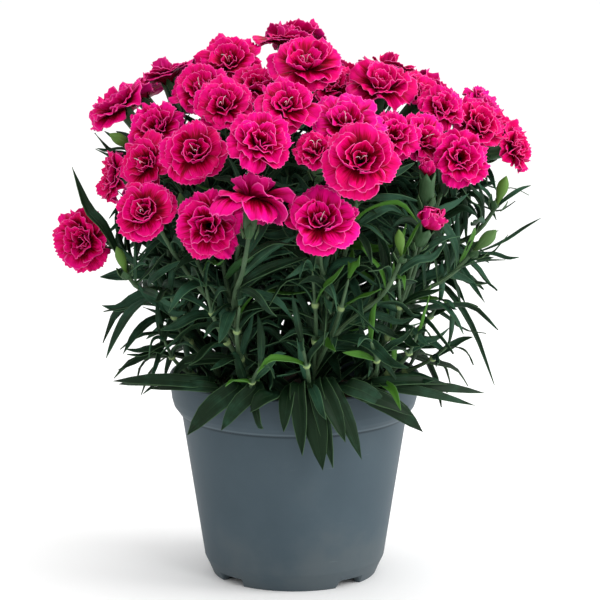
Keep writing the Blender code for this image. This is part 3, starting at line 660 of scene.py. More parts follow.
# Fill leaves between those of the solids: their spacing, how often each is tried, and how many points of
# it may touch others, far from the pot's axis on the show side and elsewhere
FILL_SPACING = 7 * MM
FILL_TRIES = 9
FILL_CLASHES, CORE_CLASHES = 5, 14
# How far from the pot's axis they may reach, further where they start above FILL_WIDENS, and up to where
# they count as near it
FILL_REACH, CORE_REACH = 80 * MM, 64 * MM
FILL_WIDENS, FILL_WIDENING = 130 * MM, 0.4
FILL_CLEARANCE = 2 * MM
# Their length and half width at a shoot's foot and how much less that is at its top, in mm
FILL_LENGTH, FILL_HALF_WIDTH = (66, 30), (3.5, 1.1)

# Calyx: its teeth, how long they are, and how much its tube is shorter than the solid's
CALYX_TEETH = 5
CALYX_TOOTH = 4.2 * MM
CALYX_CUT = 1.5 * MM

# Stems: their radius in mm at the foot and at the top, and how many joints they have
MAIN_STEM = (1.8, 1.4, 4)
BRANCH_STEM = (1.25, 1.0, 5)
TWIG_STEM = (1.3, 0.8, 3)
SWELLING = 0.6

# Twigs listed for the show side: shoot, where they leave its main stem as a share, their tip's place
# across, behind and up in mm, and the share of their leaves that are young and pale
TWIGS = (
    (10, 0.45, -27, -79, 158, 0.0),
    (10, 0.25, -17, -84, 128, 0.2),
    (10, 0.60, -44, -72, 166, 0.0),
    (9, 0.50, -62, -50, 158, 0.1),
    (9, 0.30, -66, -42, 132, 0.0),
    (11, 0.55, 9, -82, 176, 0.1),
    (11, 0.30, 4, -88, 140, 0.0),
    (11, 0.60, 27, -80, 172, 0.6),
    (12, 0.30, 38, -80, 140, 0.5),
    (12, 0.60, 52, -72, 170, 0.0),
    (12, 0.35, 62, -62, 140, 0.2),
    (5, 0.50, 74, -36, 152, 0.0),
    (5, 0.30, 78, -30, 126, 0.3),
)
# Single leaves and bracts listed at both sides: the head on whose branch they sit, where along it as
# a share, their tip's place across, behind and up in mm, half width in mm and how much they arch
SIDE_LEAVES = (
    (38, 1.00, 124, -45, 197, 1.0, -0.06),
    (38, 0.50, 106, -45, 174, 2.0, 0.12),
    (38, 0.60, 107, -48, 183, 0.9, 0.05),
    (32, 0.10, 98, -25, 126, 2.1, 0.15),
    (41, 0.05, 103, -20, 105, 1.8, 0.22),
    (41, 0.30, 97, -30, 147, 1.9, 0.15),
    (31, 0.85, 121, 0, 203, 0.9, -0.10),
    (31, 0.70, 113, -10, 195, 1.0, -0.08),
    (40, 0.95, -111, -42, 213, 3.4, 0.04),
    (15, 0.35, -98, -10, 177, 2.2, 0.05),
    (15, 0.10, -98, -16, 140, 2.4, 0.14),
    (19, 0.05, -90, -16, 124, 1.8, 0.10),
    (37, 0.00, -91, -20, 108, 2.0, 0.18),
    (40, 0.00, -74, -40, 105, 1.6, 0.12),
)

# Pot shell and peat bed: faces round them, the radii of the floor's edge and of the band's middle, the
# angle past which an edge stays sharp, and the peat's crumbs with their size in mm
POT_STEPS, SOIL_STEPS = 144, 96
FLOOR_EDGE_RADIUS = 44.6 * MM
BAND_RADIUS = 62.6 * MM
CORNER_CUT = 0.4 * MM
SHARP_ANGLE = math.radians(24)
PEAT_RINGS = 26
CRUMBS = 420
CRUMB_SIZE = (0.6, 1.7)


def ramp(value, low, high):
    """0 below low, 1 above high and smooth between."""
    share = min(1.0, max(0.0, (value - low) / (high - low)))
    return share * share * (3 - 2 * share)


class Wire:
    """An output of a shader node, which can be reckoned with like a number."""

    def __init__(self, shade, socket):
        self.shade, self.socket = shade, socket

    def math(self, operation, *values):
        inputs = dict(enumerate(values))
        return self.shade.node("Math", {"operation": operation}, inputs)

    def __add__(self, other):
        return self.math("ADD", self, other)

    def __sub__(self, other):
        return self.math("SUBTRACT", self, other)

    def __rsub__(self, other):
        return self.math("SUBTRACT", other, self)

    def __mul__(self, other):
        return self.math("MULTIPLY", self, other)

    def __abs__(self):
        return self.math("ABSOLUTE", self)

    __radd__, __rmul__ = __add__, __mul__

    def most(self, other):
        return self.math("MAXIMUM", self, other)

    def ramp(self, low, high):
        """0 below low, 1 above high and smooth between, or the other way round."""
        values = {"Value": self, "From Min": low, "From Max": high}
        return self.shade.node("MapRange", {"interpolation_type": "SMOOTHSTEP"}, values)


class Shade:
    """A material in the making."""

    def __init__(self, name, gloss):
        self.material = bpy.data.materials.new(name)
        self.material.use_nodes = True
        self.tree = self.material.node_tree
        self.main = self.tree.nodes["Principled BSDF"]
        self.main.inputs["Specular IOR Level"].default_value = gloss

    def node(self, kind, settings, values, out=0):
        """Any node: its settings first, then a value or a wire for each input by name or number."""
        node = self.tree.nodes.new("ShaderNode" + kind)
        for key, value in settings.items():
            setattr(node, key, value)
        for key, value in values.items():
            if isinstance(value, Wire):
                self.tree.links.new(value.socket, node.inputs[key])
            else:
                node.inputs[key].default_value = value
        return Wire(self, node.outputs[out])

    def attribute(self, name):
        """The three parts of an attribute that the mesh carries."""
        whole = self.node("Attribute", {"attribute_name": name}, {}, out="Vector")
        return [self.node("SeparateXYZ", {}, {0: whole}, out=k) for k in range(3)]

    def here(self):
        return self.node("TexCoord", {}, {}, out="Object")

    def point(self, x, y, z):
        return self.node("CombineXYZ", {}, {0: x, 1: y, 2: z})

    def noise(self, where, scale, detail=3.0, roughness=0.55):
        values = {"Vector": where, "Scale": scale, "Detail": detail, "Roughness": roughness}
        return self.node("TexNoise", {}, values)

    def mix(self, factor, low, high):
        """One colour where factor is 0 and the other where it is 1, by the node's colour sockets."""
        low, high = ((*c, 1) if isinstance(c, tuple) else c for c in (low, high))
        return self.node("Mix", {"data_type": "RGBA"}, {0: factor, 6: low, 7: high}, out=2)

    def finish(self, colour, roughness=None, height=None, depth=0.2 * MM, strength=0.5):
        """Links the colour, the roughness and a bump as deep as depth."""
        self.tree.links.new(colour.socket, self.main.inputs["Base Color"])
        if roughness is not None:
            self.tree.links.new(roughness.socket, self.main.inputs["Roughness"])
        if height is not None:
            values = {"Height": height, "Distance": depth, "Strength": strength}
            bump = self.node("Bump", {}, values)
            self.tree.links.new(bump.socket, self.main.inputs["Normal"])
        return self.material


def petal_material(name, deep, warm, body, light, pale, reach):
    """Satin petal: deep streaks out of its foot as far as reach, a thin pale margin and fine ribs."""
    shade = Shade(name, 0.06)
    across, along, tone = shade.attribute("place")
    side = abs(across * 2 - 1)
    ribs = shade.noise(shade.point(across * 34, along * 2.5, tone * 50), 1.0, 3)
    rays = shade.noise(shade.point(across * 8, along * 1.2, tone * 70), 1.0, 2)
    cloud = shade.noise(shade.here(), 160, 3)
    patch = shade.noise(shade.point(across * 5, along * 3, tone * 90), 1.0, 2)
    far = along + (ribs - 0.5) * 0.5 + (rays - 0.5) * 0.9
    colour = shade.mix(cloud.ramp(0.35, 0.7) * 0.3 + tone * 0.7, body, light)
    colour = shade.mix(far.ramp(reach - 0.02, reach + 0.3), warm, colour)
    colour = shade.mix(far.ramp(reach - 0.2, reach + 0.1), deep, colour)
    line = (along + (ribs - 0.5) * 0.03).ramp(0.965, 0.995)
    flank = (side + (ribs - 0.5) * 0.03).ramp(0.94, 0.985) * along.ramp(0.6, 0.85)
    colour = shade.mix(line.most(flank) * patch.ramp(0.2, 0.7) * 0.8, colour, pale)
    return shade.finish(colour, 0.34 + cloud * 0.2, ribs, 0.12 * MM, 0.7)


def green_material(name, deep, face, young, rib, foot, gloss):
    """Waxy leaf, calyx or stem: wax in patches, a lighter midrib, edge and foot, fine lengthwise lines."""
    shade = Shade(name, gloss)
    across, along, tone = shade.attribute("place")
    side = abs(across * 2 - 1)
    cloud = shade.noise(shade.here(), 70, 4)
    lines = shade.noise(shade.point(across * 30, along * 3.0, tone * 30), 1.0, 2)
    wax = (cloud + (lines - 0.5) * 0.4 + (tone - 0.35) * 0.5).ramp(0.3, 0.8)
    colour = shade.mix(wax, deep, face)
    colour = shade.mix(tone.ramp(0.72, 0.86) * 0.85, colour, young)
    mark = (side.ramp(0.07, 0.01) * 0.35 * along.ramp(0.9, 0.3)).most(side.ramp(0.93, 0.99) * 0.4)
    colour = shade.mix(mark, colour, rib)
    colour = shade.mix(along.ramp(0.14, 0.0) * foot, colour, rib)
    height = lines * 0.5 + side.ramp(0.0, 0.12) * 0.8
    return shade.finish(colour, 0.5 + cloud * 0.22, height, 0.15 * MM, 0.6)


def style_material():
    """Pale style, pinker at its foot."""
    shade = Shade("pale style", 0.3)
    along = shade.attribute("place")[1]
    specks = shade.noise(shade.here(), 900, 2)
    colour = shade.mix(along.ramp(0.1, 0.8), (0.75, 0.2, 0.35), (0.9, 0.82, 0.85))
    return shade.finish(colour, 0.4 + specks * 0.3, specks, 0.1 * MM)


def pot_material():
    """Moulded slate grey plastic: fine grain, faint rings, dust low down, scuffs, painted shade in the crease
    and painted highlights on the band and lip.
    """
    shade = Shade("slate grey moulded plastic", 0.1)
    where = shade.here()
    x, y, z = (shade.node("SeparateXYZ", {}, {0: where}, out=k) for k in range(3))
    grain = shade.noise(where, 1500, 2)
    cloud = shade.noise(where, 28, 4)
    rings = shade.noise(shade.point(x * 0.02, y * 0.02, z * 900), 1.0, 2)
    dust = (cloud + z.ramp(0.045, 0.0) * 0.35).ramp(0.55, 0.95)
    scuff = shade.noise(shade.point(x * 60, y * 60, z * 700), 1.0, 3).ramp(0.66, 0.78) * cloud.ramp(0.45, 0.6)
    colour = shade.mix(cloud.ramp(0.3, 0.7), (0.050, 0.073, 0.089), (0.058, 0.083, 0.100))
    colour = shade.mix(dust * 0.3, colour, (0.12, 0.125, 0.12))
    colour = shade.mix(scuff * 0.25, colour, (0.15, 0.17, 0.18))
    # Painted shade: a dark line in the crease under the rim's band.
    crease_shade = abs(z - (NECK_HEIGHT - 0.4 * MM)).ramp(1.1 * MM, 0.2 * MM)
    colour = shade.mix(crease_shade * 0.6, colour, (0.018, 0.025, 0.03))
    # Painted highlights: a light line along the band just above the crease, and along the lip at the top.
    band_highlight = abs(z - (NECK_HEIGHT + 1.0 * MM)).ramp(0.8 * MM, 0.1 * MM)
    edge = band_highlight.most(z.ramp(POT_HEIGHT - 1.6 * MM, POT_HEIGHT))
    colour = shade.mix(edge * 0.3, colour, (0.15, 0.19, 0.21))
    return shade.finish(colour, 0.44 + cloud * 0.12 + scuff * 0.1, grain * 0.6 + rings * 0.5, 0.05 * MM)


def peat_material():
    """Dark peat with paler fibres."""
    shade = Shade("dark peat", 0.2)
    where = shade.here()
    coarse, fine = shade.noise(where, 210, 5, 0.7), shade.noise(where, 900, 3)
    fibre = shade.noise(shade.node("Mapping", {}, {0: where, "Scale": (1, 6, 2)}), 160, 3)
    colour = shade.mix(coarse.ramp(0.3, 0.75), (0.012, 0.007, 0.004), (0.060, 0.034, 0.019))
    colour = shade.mix(fibre.ramp(0.62, 0.74) * 0.6, colour, (0.14, 0.085, 0.045))
    return shade.finish(colour, 0.8 + fine * 0.18, coarse + fine * 0.4, 1.2 * MM, 0.8)


def floor_material():
    """Plain pale floor."""
    shade = Shade("pale floor", 0.15)
    cloud = shade.noise(shade.here(), 6, 4)
    colour = shade.mix(cloud, (0.95, 0.95, 0.95), (0.97, 0.97, 0.965))
    return shade.finish(colour, 0.6 + cloud * 0.1)


def petal_materials():
    """A petal's face, its underside and the styles."""
    return [
        petal_material(
            "pink petal", deep=(0.14, 0.0, 0.007), warm=(0.42, 0.0, 0.032), body=(0.72, 0.0, 0.12),
            light=(0.88, 0.003, 0.30), pale=(0.92, 0.16, 0.46), reach=0.60,
        ),
        petal_material(
            "petal underside", deep=(0.20, 0.0, 0.02), warm=(0.36, 0.0, 0.05), body=(0.50, 0.0, 0.10),
            light=(0.60, 0.008, 0.22), pale=(0.80, 0.12, 0.38), reach=0.50,
        ),
        style_material(),
    ]


def green_materials():
    """The leaves', the stems' and the calyxes' greens."""
    return [
        green_material(
            "glaucous leaf", deep=(0.0035, 0.016, 0.0045), face=(0.022, 0.074, 0.041),
            young=(0.05, 0.16, 0.010), rib=(0.09, 0.18, 0.075), foot=0.5, gloss=0.14,
        ),
        green_material(
            "pale stem", deep=(0.03, 0.065, 0.028), face=(0.085, 0.15, 0.075), young=(0.27, 0.38, 0.15),
            rib=(0.22, 0.32, 0.12), foot=0.2, gloss=0.25,
        ),
        green_material(
            "calyx", deep=(0.018, 0.055, 0.015), face=(0.06, 0.13, 0.06), young=(0.085, 0.18, 0.02),
            rib=(0.16, 0.26, 0.11), foot=0.2, gloss=0.25,
        ),
    ]


def new_bmesh():
    """A bmesh whose points carry their place on the sheet: across, along and a tone."""
    bm = bmesh.new()
    bm.verts.layers.float_vector.new("place")
    return bm


def sheet(bm, columns, rows, place, tone=0.5, kind=0):
    """A grid of faces whose points go where place(u, v) says, for u and v from 0 to 1."""
    layer = bm.verts.layers.float_vector["place"]
    made = bmesh.ops.create_grid(bm, x_segments=columns, y_segments=rows, size=0.5)["verts"]
    for vert in made:
        u, v = vert.co.x + 0.5, vert.co.y + 0.5
        vert[layer] = (u, v, tone(v) if callable(tone) else tone)
        vert.co = place(u, v)
    faces = {face for vert in made for face in vert.link_faces}
    for face in faces:
        face.material_index, face.smooth = kind, True
    return made, faces


def thicken(bm, faces, thickness, under=None):
    """Gives sheets a back, which may have its own material, and flat edges."""
    faces = list(faces)
    fronts = set(faces)
    made = bmesh.ops.solidify(bm, geom=faces, thickness=thickness)["geom"]
    backs = {part for part in made if isinstance(part, bmesh.types.BMFace)}
    for face in bm.faces:
        if face in backs:
            if under is not None:
                face.material_index = under
        elif face not in fronts:
            touching = {other for edge in face.edges for other in edge.link_faces}
            if touching & fronts and touching & backs:
                face.smooth = False


def new_object(name, data):
    """An object in the scene, at the origin."""
    made = bpy.data.objects.new(name, data)
    bpy.context.scene.collection.objects.link(made)
    return made


def mesh_object(name, bm, materials):
    """An object from a bmesh, which is used up."""
    mesh = bpy.data.meshes.new(name)
    bm.to_mesh(mesh)
    bm.free()
    for finish in materials:
        mesh.materials.append(finish)
    return new_object(name, mesh)


def new_piece(name, bm, materials, node):
    """A piece from a bmesh, which rides on the root and stands for a node."""
    piece = mesh_object(name, bm, materials)
    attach(piece, "root")
    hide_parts(node)
    return piece


def smoothed(points, count):
    """A smooth path of count points through these points."""
    padded = [2 * points[0] - points[1], *points, 2 * points[-1] - points[-2]]
    path = []
    for k in range(count):
        at = min(len(points) - 1.0001, k / (count - 1) * (len(points) - 1))
        i, t = int(at), at % 1
        a, b, c, d = padded[i : i + 4]
        bend = (2 * a - 5 * b + 4 * c - d) * t + (3 * b - a - 3 * c + d) * t * t
        path.append(b + 0.5 * t * (c - a + bend))
    return path


def add_tube(bm, path, radius, sides, rows, tone=0.5, kind=0):
    """A round closed tube along a path of rows + 1 points, with radius(v) at each."""
    frames = stem_frames(path)
    alongs = [unit(path[min(k + 1, rows)] - path[max(k - 1, 0)]) for k in range(rows + 1)]

    def place(u, v):
        k = round(v * rows)
        a = 2 * math.pi * u
        side = around(a, frames[k], alongs[k].cross(frames[k]))
        return path[k] + (0 if k in (0, rows) else radius(v)) * side

    made = sheet(bm, sides, rows, place, tone, kind)[0]
    bmesh.ops.remove_doubles(bm, verts=made, dist=0.001 * MM)


def add_petal(bm, rng, turn, radius, row, tint):
    """One petal of a bloom that is seated at z 0 and faces +Z."""
    _, share, half, start, end, cup, ruffle, columns, rows, tip = row
    length = share * radius * rng.uniform(0.89, 1.06)
    half *= radius * rng.uniform(0.88, 1.08)
    start, end = math.radians(start), math.radians(end + rng.uniform(-9, 9))
    tip = math.radians(tip + rng.uniform(-10, 10))
    out = Vector((math.cos(turn), math.sin(turn), 0))
    across = Vector((math.sin(turn), -math.cos(turn), 0))
    spine, lifts, step = [(PETAL_FOOT, 0.0)], [], length / PETAL_STEPS
    for k in range(PETAL_STEPS):
        far = (k + 0.5) / PETAL_STEPS
        lifts.append(end + (start - end) * (1 - far) ** 4 + tip * ramp(far, 0.5, 1.1))
        far, high = spine[-1]
        spine.append((far + step * math.cos(lifts[-1]), high + step * math.sin(lifts[-1])))
    waves, first, second = rng.uniform(1.0, 1.8), rng.uniform(0, ANY_TURN), rng.uniform(0, ANY_TURN)
    lean, fold, yaw = rng.uniform(-0.1, 0.32), rng.uniform(-0.3, 0.3), rng.uniform(-0.13, 0.13)
    ruffle *= MM * rng.uniform(0.6, 1.4)
    tone = min(1.0, max(0.0, tint + rng.uniform(-0.2, 0.2)))
    teeth = [rng.uniform(0.3, 1.0) if c % 2 else rng.uniform(-0.6, 0.0) for c in range(columns + 1)]

    def place(u, v):
        c = 2 * u - 1
        at = v * (1 - 0.08 * c * c - 0.2 * c**4) * PETAL_STEPS
        k = min(PETAL_STEPS - 1, int(at))
        far = spine[k][0] + (at - k) * (spine[k + 1][0] - spine[k][0])
        high = spine[k][1] + (at - k) * (spine[k + 1][1] - spine[k][1])
        wide = half * (0.16 + 0.84 * ramp(v, -0.1, 0.85))
        bend = cup * (0.4 + 0.6 * v)
        side, rise = wide * math.sin(bend * c) / bend, wide * (1 - math.cos(bend * c)) / bend
        wave = math.sin(math.pi * waves * c + first) + 0.5 * math.sin(2.4 * math.pi * waves * c + second)
        crumple = noise.noise(Vector((2.6 * c + 9 * first, 2.6 * v, 9 * second)))
        rise += ruffle * v * v * wave + (lean * c + fold * (abs(c) - 0.4)) * wide * v
        rise += CRUMPLE * v * crumple
        side += yaw * v * length
        if v > 0.999:
            tooth = TOOTH * teeth[round(u * columns)]
            far += tooth * math.cos(lifts[k])
            high += tooth * math.sin(lifts[k])
            rise += 0.5 * tooth
        far -= rise * math.sin(lifts[k])
        high += rise * math.cos(lifts[k])
        return far * out + side * across + Vector((0, 0, high))

    return sheet(bm, columns, rows, place, tone)[1]


def add_styles(bm, rng, height):
    """Two thin styles that curl apart in the middle of a bloom."""
    turn = rng.uniform(0, ANY_TURN)
    for k in range(2):
        way = Vector((math.cos(turn + 2.7 * k), math.sin(turn + 2.7 * k), 0))
        rows = ((0.4, 3 * MM), (0.6, 0.7 * height), (1.4, height), (3.2, 1.02 * height))
        points = [far * MM * way + Vector((0, 0, high)) for far, high in rows]
        add_tube(bm, smoothed(points, 9), lambda v: 0.25 * MM * (1.2 - v), 5, 8, 0.5, STYLE)


def build_flower(name, node, head, form, materials, seed, wider=1.0):
    """An open bloom or the tuft of an opening bud, in its place."""
    rng = random.Random(seed)
    tint = 0.1 if form == "tuft" else rng.uniform(0.0, 0.85)
    bm = new_bmesh()
    faces = set()
    for row in PETAL_RINGS[form]:
        shift = rng.uniform(-0.3, 0.3) if row[0] == 2 else rng.uniform(0, ANY_TURN)
        for k in range(row[0]):
            turn = shift + 2 * math.pi * (k + rng.uniform(-0.16, 0.16)) / row[0]
            faces |= add_petal(bm, rng, turn, wider * head.radius, row, tint)
    thicken(bm, faces, PETAL_THICKNESS, UNDERSIDE)
    if form in ("open", "cups"):
        add_styles(bm, rng, STYLE_HEIGHT)
    turned = head.axis.to_track_quat("Z", "Y").to_matrix().to_4x4()
    bmesh.ops.transform(bm, matrix=Matrix.Translation(head.seat()) @ turned, verts=bm.verts)
    new_piece(name, bm, materials, node)


def fill_leaves(shoots, heads, space):
    """More leaves between those of the solids, which may touch their neighbours a little."""
    rng = random.Random(SEED + 7)
    for index, shoot in enumerate(shoots):
        stems = [(shoot.main, 0.25, 0.98, 0.0, 0.5)]
        stems += [(points, 0.08, 0.86, 0.5, 1.0) for _, points in shoot.branches]
        for path, first, last, low, high in stems:
            length = sum((b - a).length for a, b in zip(path, path[1:]))
            pairs = max(2, round((last - first) * length / FILL_SPACING))
            for pair in range(pairs):
                share = (pair + 0.5) / pairs
                start, along = point_along(path, first + (last - first) * share)
                level = side_axes(along)[0]
                up_the_shoot = low + (high - low) * share
                for out in (level, -level, along.cross(level), -along.cross(level)):
                    fill_leaf(shoot, heads, space, rng, index, start, along, out, up_the_shoot)


def fill_leaf(shoot, heads, space, rng, owner, start, along, out, share):
    """Adds one such leaf, or leaves it out where it would reach too far or touch too much."""
    for _ in range(FILL_TRIES):
        turned = unit(Matrix.Rotation(rng.uniform(-0.9, 0.9), 3, along) @ out)
        lean = rng.uniform(0.25, 1.1)
        length = (FILL_LENGTH[0] - FILL_LENGTH[1] * share) * MM * rng.uniform(0.7, 1.1)
        way = unit(along * math.cos(lean) + turned * math.sin(lean))
        leaning = unit(turned + rng.uniform(-0.2, 0.9) * along)
        path = leaf_path(start + LEAF_FOOT_OFFSET * turned, way, leaning, length, rng.uniform(-0.3, 1.0))
        twist = Matrix.Rotation(rng.uniform(-LEAF_TWIST, LEAF_TWIST), 3, way)
        half = (FILL_HALF_WIDTH[0] - FILL_HALF_WIDTH[1] * share) * MM * rng.uniform(0.75, 1.15)
        leaf = Leaf(path, unit(twist @ along.cross(turned)), half)
        near, far = leaf.samples()
        if any(in_pot_or_soil(p) or not in_spread(p) for p in near + far):
            continue
        reach = max(math.hypot(p.x, p.y) for p in far)
        if reach > FILL_REACH + max(0.0, FILL_WIDENING * (start.z - FILL_WIDENS)):
            continue
        if any((p - h.middle).length < h.radius + FILL_CLEARANCE for h in heads for p in far):
            continue
        limit = CORE_CLASHES if reach < CORE_REACH or start.y > 0 else FILL_CLASHES
        if space.clashes(near, owner) + space.clashes(far) > limit:
            continue
        space.add(near + far, (owner, len(shoot.leaves)))
        shoot.leaves.append(leaf)
        return


def blade_width(v, widest):
    """A leaf's half width from its clasping foot to its pointed tip, as a share of its widest."""
    if v < widest:
        return 0.42 + 0.58 * ramp(v, -0.2 * widest, widest)
    return 1 - ((v - widest) / (1 - widest)) ** 2.1


def is_skirt(leaf):
    """True for a leaf laid over the pot's rim, whose middle point is just outside it."""
    lip = leaf.path[2]
    return abs(math.hypot(lip.x, lip.y) - RIM_RADIUS - SKIRT_CLEARANCE) < 0.01 * MM


def slanted(path):
    """A rim leaf's path that crosses the rim nearer to the show side's middle than its tip is."""
    tip = path[-1]
    if tip.y > 0:
        return path
    turn = math.atan2(tip.x, -tip.y)
    shares = (0, 0.2, 0.45, 0.25, 0)
    return [Matrix.Rotation(-turn * share, 3, "Z") @ p for p, share in zip(path, shares)]


def add_blade(bm, leaf, rng, tone=None):
    """A channelled, pointed blade along a leaf's path, twisted and bent a little more than it."""
    skirt = is_skirt(leaf)
    if skirt:
        points = slanted(leaf.path)
    else:
        hook = rng.uniform(-0.12, 0.16) * (leaf.path[-1] - leaf.path[0]).length
        ends = (leaf.path[3] - Vector((0, 0, 0.35 * hook)), leaf.path[4] + Vector((0, 0, hook)))
        points = [*leaf.path[:3], *ends]
    path = smoothed(points, LEAF_ROWS + 1)
    first = leaf.path[1] - leaf.path[0]
    side = leaf.across if leaf.across.cross(first).z > 0 else -leaf.across
    twist = rng.uniform(-0.1, 0.1) if skirt else rng.uniform(-1.3, 1.3)
    frames = []
    for k, point in enumerate(path):
        along = unit(path[min(k + 1, LEAF_ROWS)] - path[max(k - 1, 0)])
        side = unit(Matrix.Rotation(twist / LEAF_ROWS, 3, along) @ (side - side.dot(along) * along))
        frames.append((point, side, side.cross(along)))
    channel, wave, phase = rng.uniform(0.12, 0.7), rng.uniform(0, 0.4) * MM, rng.uniform(0, ANY_TURN)
    widest = 0.66 if skirt else rng.uniform(0.38, 0.55)
    narrowed = RIM_SHARES[abs(leaf.path[-1].x) >= RIM_WIDE] if skirt else NARROWED
    half = leaf.half_width * narrowed

    def place(u, v):
        point, level, up = frames[round(v * LEAF_ROWS)]
        c = 2 * u - 1
        wide = half * blade_width(v, widest)
        rise = channel * wide * abs(c) ** 1.3 + wave * c * math.sin(9 * v + phase) - 0.3 * MM
        return point + wide * c * level + rise * up

    if tone is None:
        tone = rng.uniform(-0.3, 0.15) if skirt else rng.uniform(0, 0.7)
        if young_share(leaf) > 0.5 and not skirt and rng.random() < 0.06:
            tone = rng.uniform(0.76, 1)
    return sheet(bm, LEAF_COLUMNS, LEAF_ROWS, place, tone)[1]


def young_share(leaf):
    """How far towards the right of the show side a leaf starts, where the young ones are."""
    return 0.5 + 0.5 * (leaf.path[0].x - leaf.path[0].y) / RIM_RADIUS


def add_scales(bm, base, axis, count, length, half, radius, rng):
    """Small pointed scales that hug the foot of a calyx or bud, each a little outside the last."""
    level, steep = side_axes(axis)
    faces = set()
    for k in range(count):
        a = 2 * math.pi * (k + 0.3) / count + rng.uniform(-0.15, 0.15)
        out = around(a, level, steep)
        across = out.cross(axis)

        def place(u, v):
            c = 2 * u - 1
            wide = half * (0.5 + 0.5 * ramp(v, 0, 0.4)) * (1 - v**2.2)
            turn = c * wide / radius
            away = radius * (0.75 + 0.4 * ramp(v, 0, 0.5)) + 0.15 * MM * k
            side = away * math.cos(turn) * out + away * math.sin(turn) * across
            return base + side + (v * length - 0.6 * MM) * axis

        faces |= sheet(bm, 4, 4, place, 0.3, CALYX)[1]
    return faces


def add_calyx(bm, head, rng):
    """The toothed tube under a bloom, with scales at its foot."""
    base, axis = head.calyx_base(), head.axis
    level, steep = side_axes(axis)
    width = 0.87 if head.kind == "open" else 0.95

    def place(u, v):
        tooth = 1 - abs((u * CALYX_TEETH) % 1 - 0.5) * 2
        high = v * (CALYX_LENGTH - CALYX_CUT) + ramp(v, 0.7, 1) * CALYX_TOOTH * tooth
        away = CALYX_RADIUS * width * (0.62 + 0.38 * ramp(v, 0.0, 0.35)) * min(1, 6 * v)
        away += ramp(v, 0.8, 1) * 0.35 * MM
        a = 2 * math.pi * u
        return base + away * around(a, level, steep) + high * axis

    made, faces = sheet(bm, CALYX_TEETH * 4, 7, place, rng.uniform(0.2, 0.7), CALYX)
    bmesh.ops.remove_doubles(bm, verts=made, dist=0.001 * MM)
    scales = add_scales(bm, base, axis, 4, 7.5 * MM, 2.6 * MM, CALYX_RADIUS * width, rng)
    return {face for face in faces if face.is_valid} | scales


def add_bud(bm, head, rng):
    """A closed bud, ribbed and pointed, with scales at its foot."""
    base, axis = head.calyx_base(), head.axis
    rows = 12
    path = [base + (k / rows) * 1.12 * CALYX_LENGTH * axis for k in range(rows + 1)]

    def radius(v):
        return 0.78 * head.radius * (0.3 + 0.7 * ramp(v, 0.1, 0.6)) * (1 - 0.9 * ramp(v, 0.68, 1.05))

    add_tube(bm, path, radius, 12, rows, rng.uniform(0.76, 0.9), CALYX)
    level, steep = side_axes(axis)
    faces = add_scales(bm, base, axis, 4, 6.5 * MM, 2.4 * MM, head.radius * 0.95, rng)
    for k in range(2):
        a = rng.uniform(0, HALF_TURN) + HALF_TURN * k
        out = around(a, level, steep)
        bract = leaf_path(base, unit(axis + 0.8 * out), unit(out + 0.6 * axis), rng.uniform(17, 25) * MM, 0.2)
        faces |= add_blade(bm, Leaf(bract, unit(out.cross(axis)), 1.2 * MM), rng)
    return faces


def build_spray(number, shoot, heads, materials):
    """One leafy shoot with its stems, calyxes, closed buds and leaves."""
    rng = random.Random(SEED + 100 + number)
    bm = new_bmesh()
    faces = set()
    for leaf in shoot.leaves:
        faces |= add_blade(bm, leaf, rng)
    for row in TWIGS:
        if row[0] == number:
            faces |= add_twig(bm, shoot, row, rng)
    for head, points in shoot.branches:
        for row in SIDE_LEAVES:
            if heads[row[0] - 1] is head:
                faces |= add_blade(bm, side_leaf(points, row), rng, rng.uniform(0.1, 0.5))
        if head.kind != "closed":
            faces |= add_calyx(bm, head, rng)
        else:
            faces |= add_bud(bm, head, rng)
    thicken(bm, faces, BLADE_THICKNESS)
    add_tube(bm, smoothed(shoot.main, 21), lambda v: joint_radius(v, *MAIN_STEM), 8, 20, 0.4, STEM)

    def pale(v):
        return 0.35 + 0.5 * joint(v, BRANCH_STEM[2])

    for head, points in shoot.branches:
        path = smoothed([*points, head.calyx_base() + 1.5 * MM * head.axis], 25)
        add_tube(bm, path, lambda v: joint_radius(v, *BRANCH_STEM), 7, 24, pale, STEM)
    new_piece(f"spray_{number:02d}", bm, materials, f"shoot_{number:02d}")


def joint(v, joints):
    """1 at a stem's joints and 0 between them."""
    return ramp(abs((v * joints) % 1 - 0.5) * 2, 0.72, 1)


def joint_radius(v, thick, thin, joints):
    """A stem's radius, with its joints swollen."""
    return (thick + (thin - thick) * v + SWELLING * joint(v, joints)) * MM


def add_twig(bm, shoot, row, rng):
    """A short side twig with pale joints and a pair of narrow leaves at each."""
    _, share, across, behind, up, young = row
    start, tip = point_along(shoot.main, share)[0], Vector((across, behind, up)) * MM
    bow = 0.1 * (tip - start).length * unit(Vector((start.x, start.y, 0)))
    path = smoothed([start, start.lerp(tip, 0.55) + bow, tip], 19)
    joints = TWIG_STEM[2]

    def radius(v):
        return joint_radius(v, *TWIG_STEM) + 0.5 * MM * joint(v, joints)

    def pale(v):
        return 0.4 + 0.6 * joint(v, joints)

    add_tube(bm, path, radius, 7, 18, pale, STEM)
    faces = set()
    for k in range(1, joints + 1):
        point, along = path[6 * k], unit(path[6 * k] - path[6 * k - 1])
        level, steep = side_axes(along)
        turn = rng.uniform(-0.5, 0.5) + QUARTER_TURN * (k % 2)
        for side in (-1, 1):
            out = side * around(turn, level, steep)
            lean = rng.uniform(0.3, 0.75) if k < 3 else rng.uniform(0.2, 0.45)
            way = unit(math.cos(lean) * along + math.sin(lean) * out)
            length = (38 - 4 * k) * MM * rng.uniform(0.75, 1.1)
            leaning = unit(out + rng.uniform(0.2, 1.4) * along)
            blade = leaf_path(point, way, leaning, length, rng.uniform(-0.2, 0.9))
            half = (3.1 - 0.4 * k) * MM * rng.uniform(0.8, 1.1)
            leaf = Leaf(blade, unit(along.cross(out)), half)
            tone = rng.uniform(0.7, 1.0) if rng.random() < young else None
            faces |= add_blade(bm, leaf, rng, tone)
    return faces


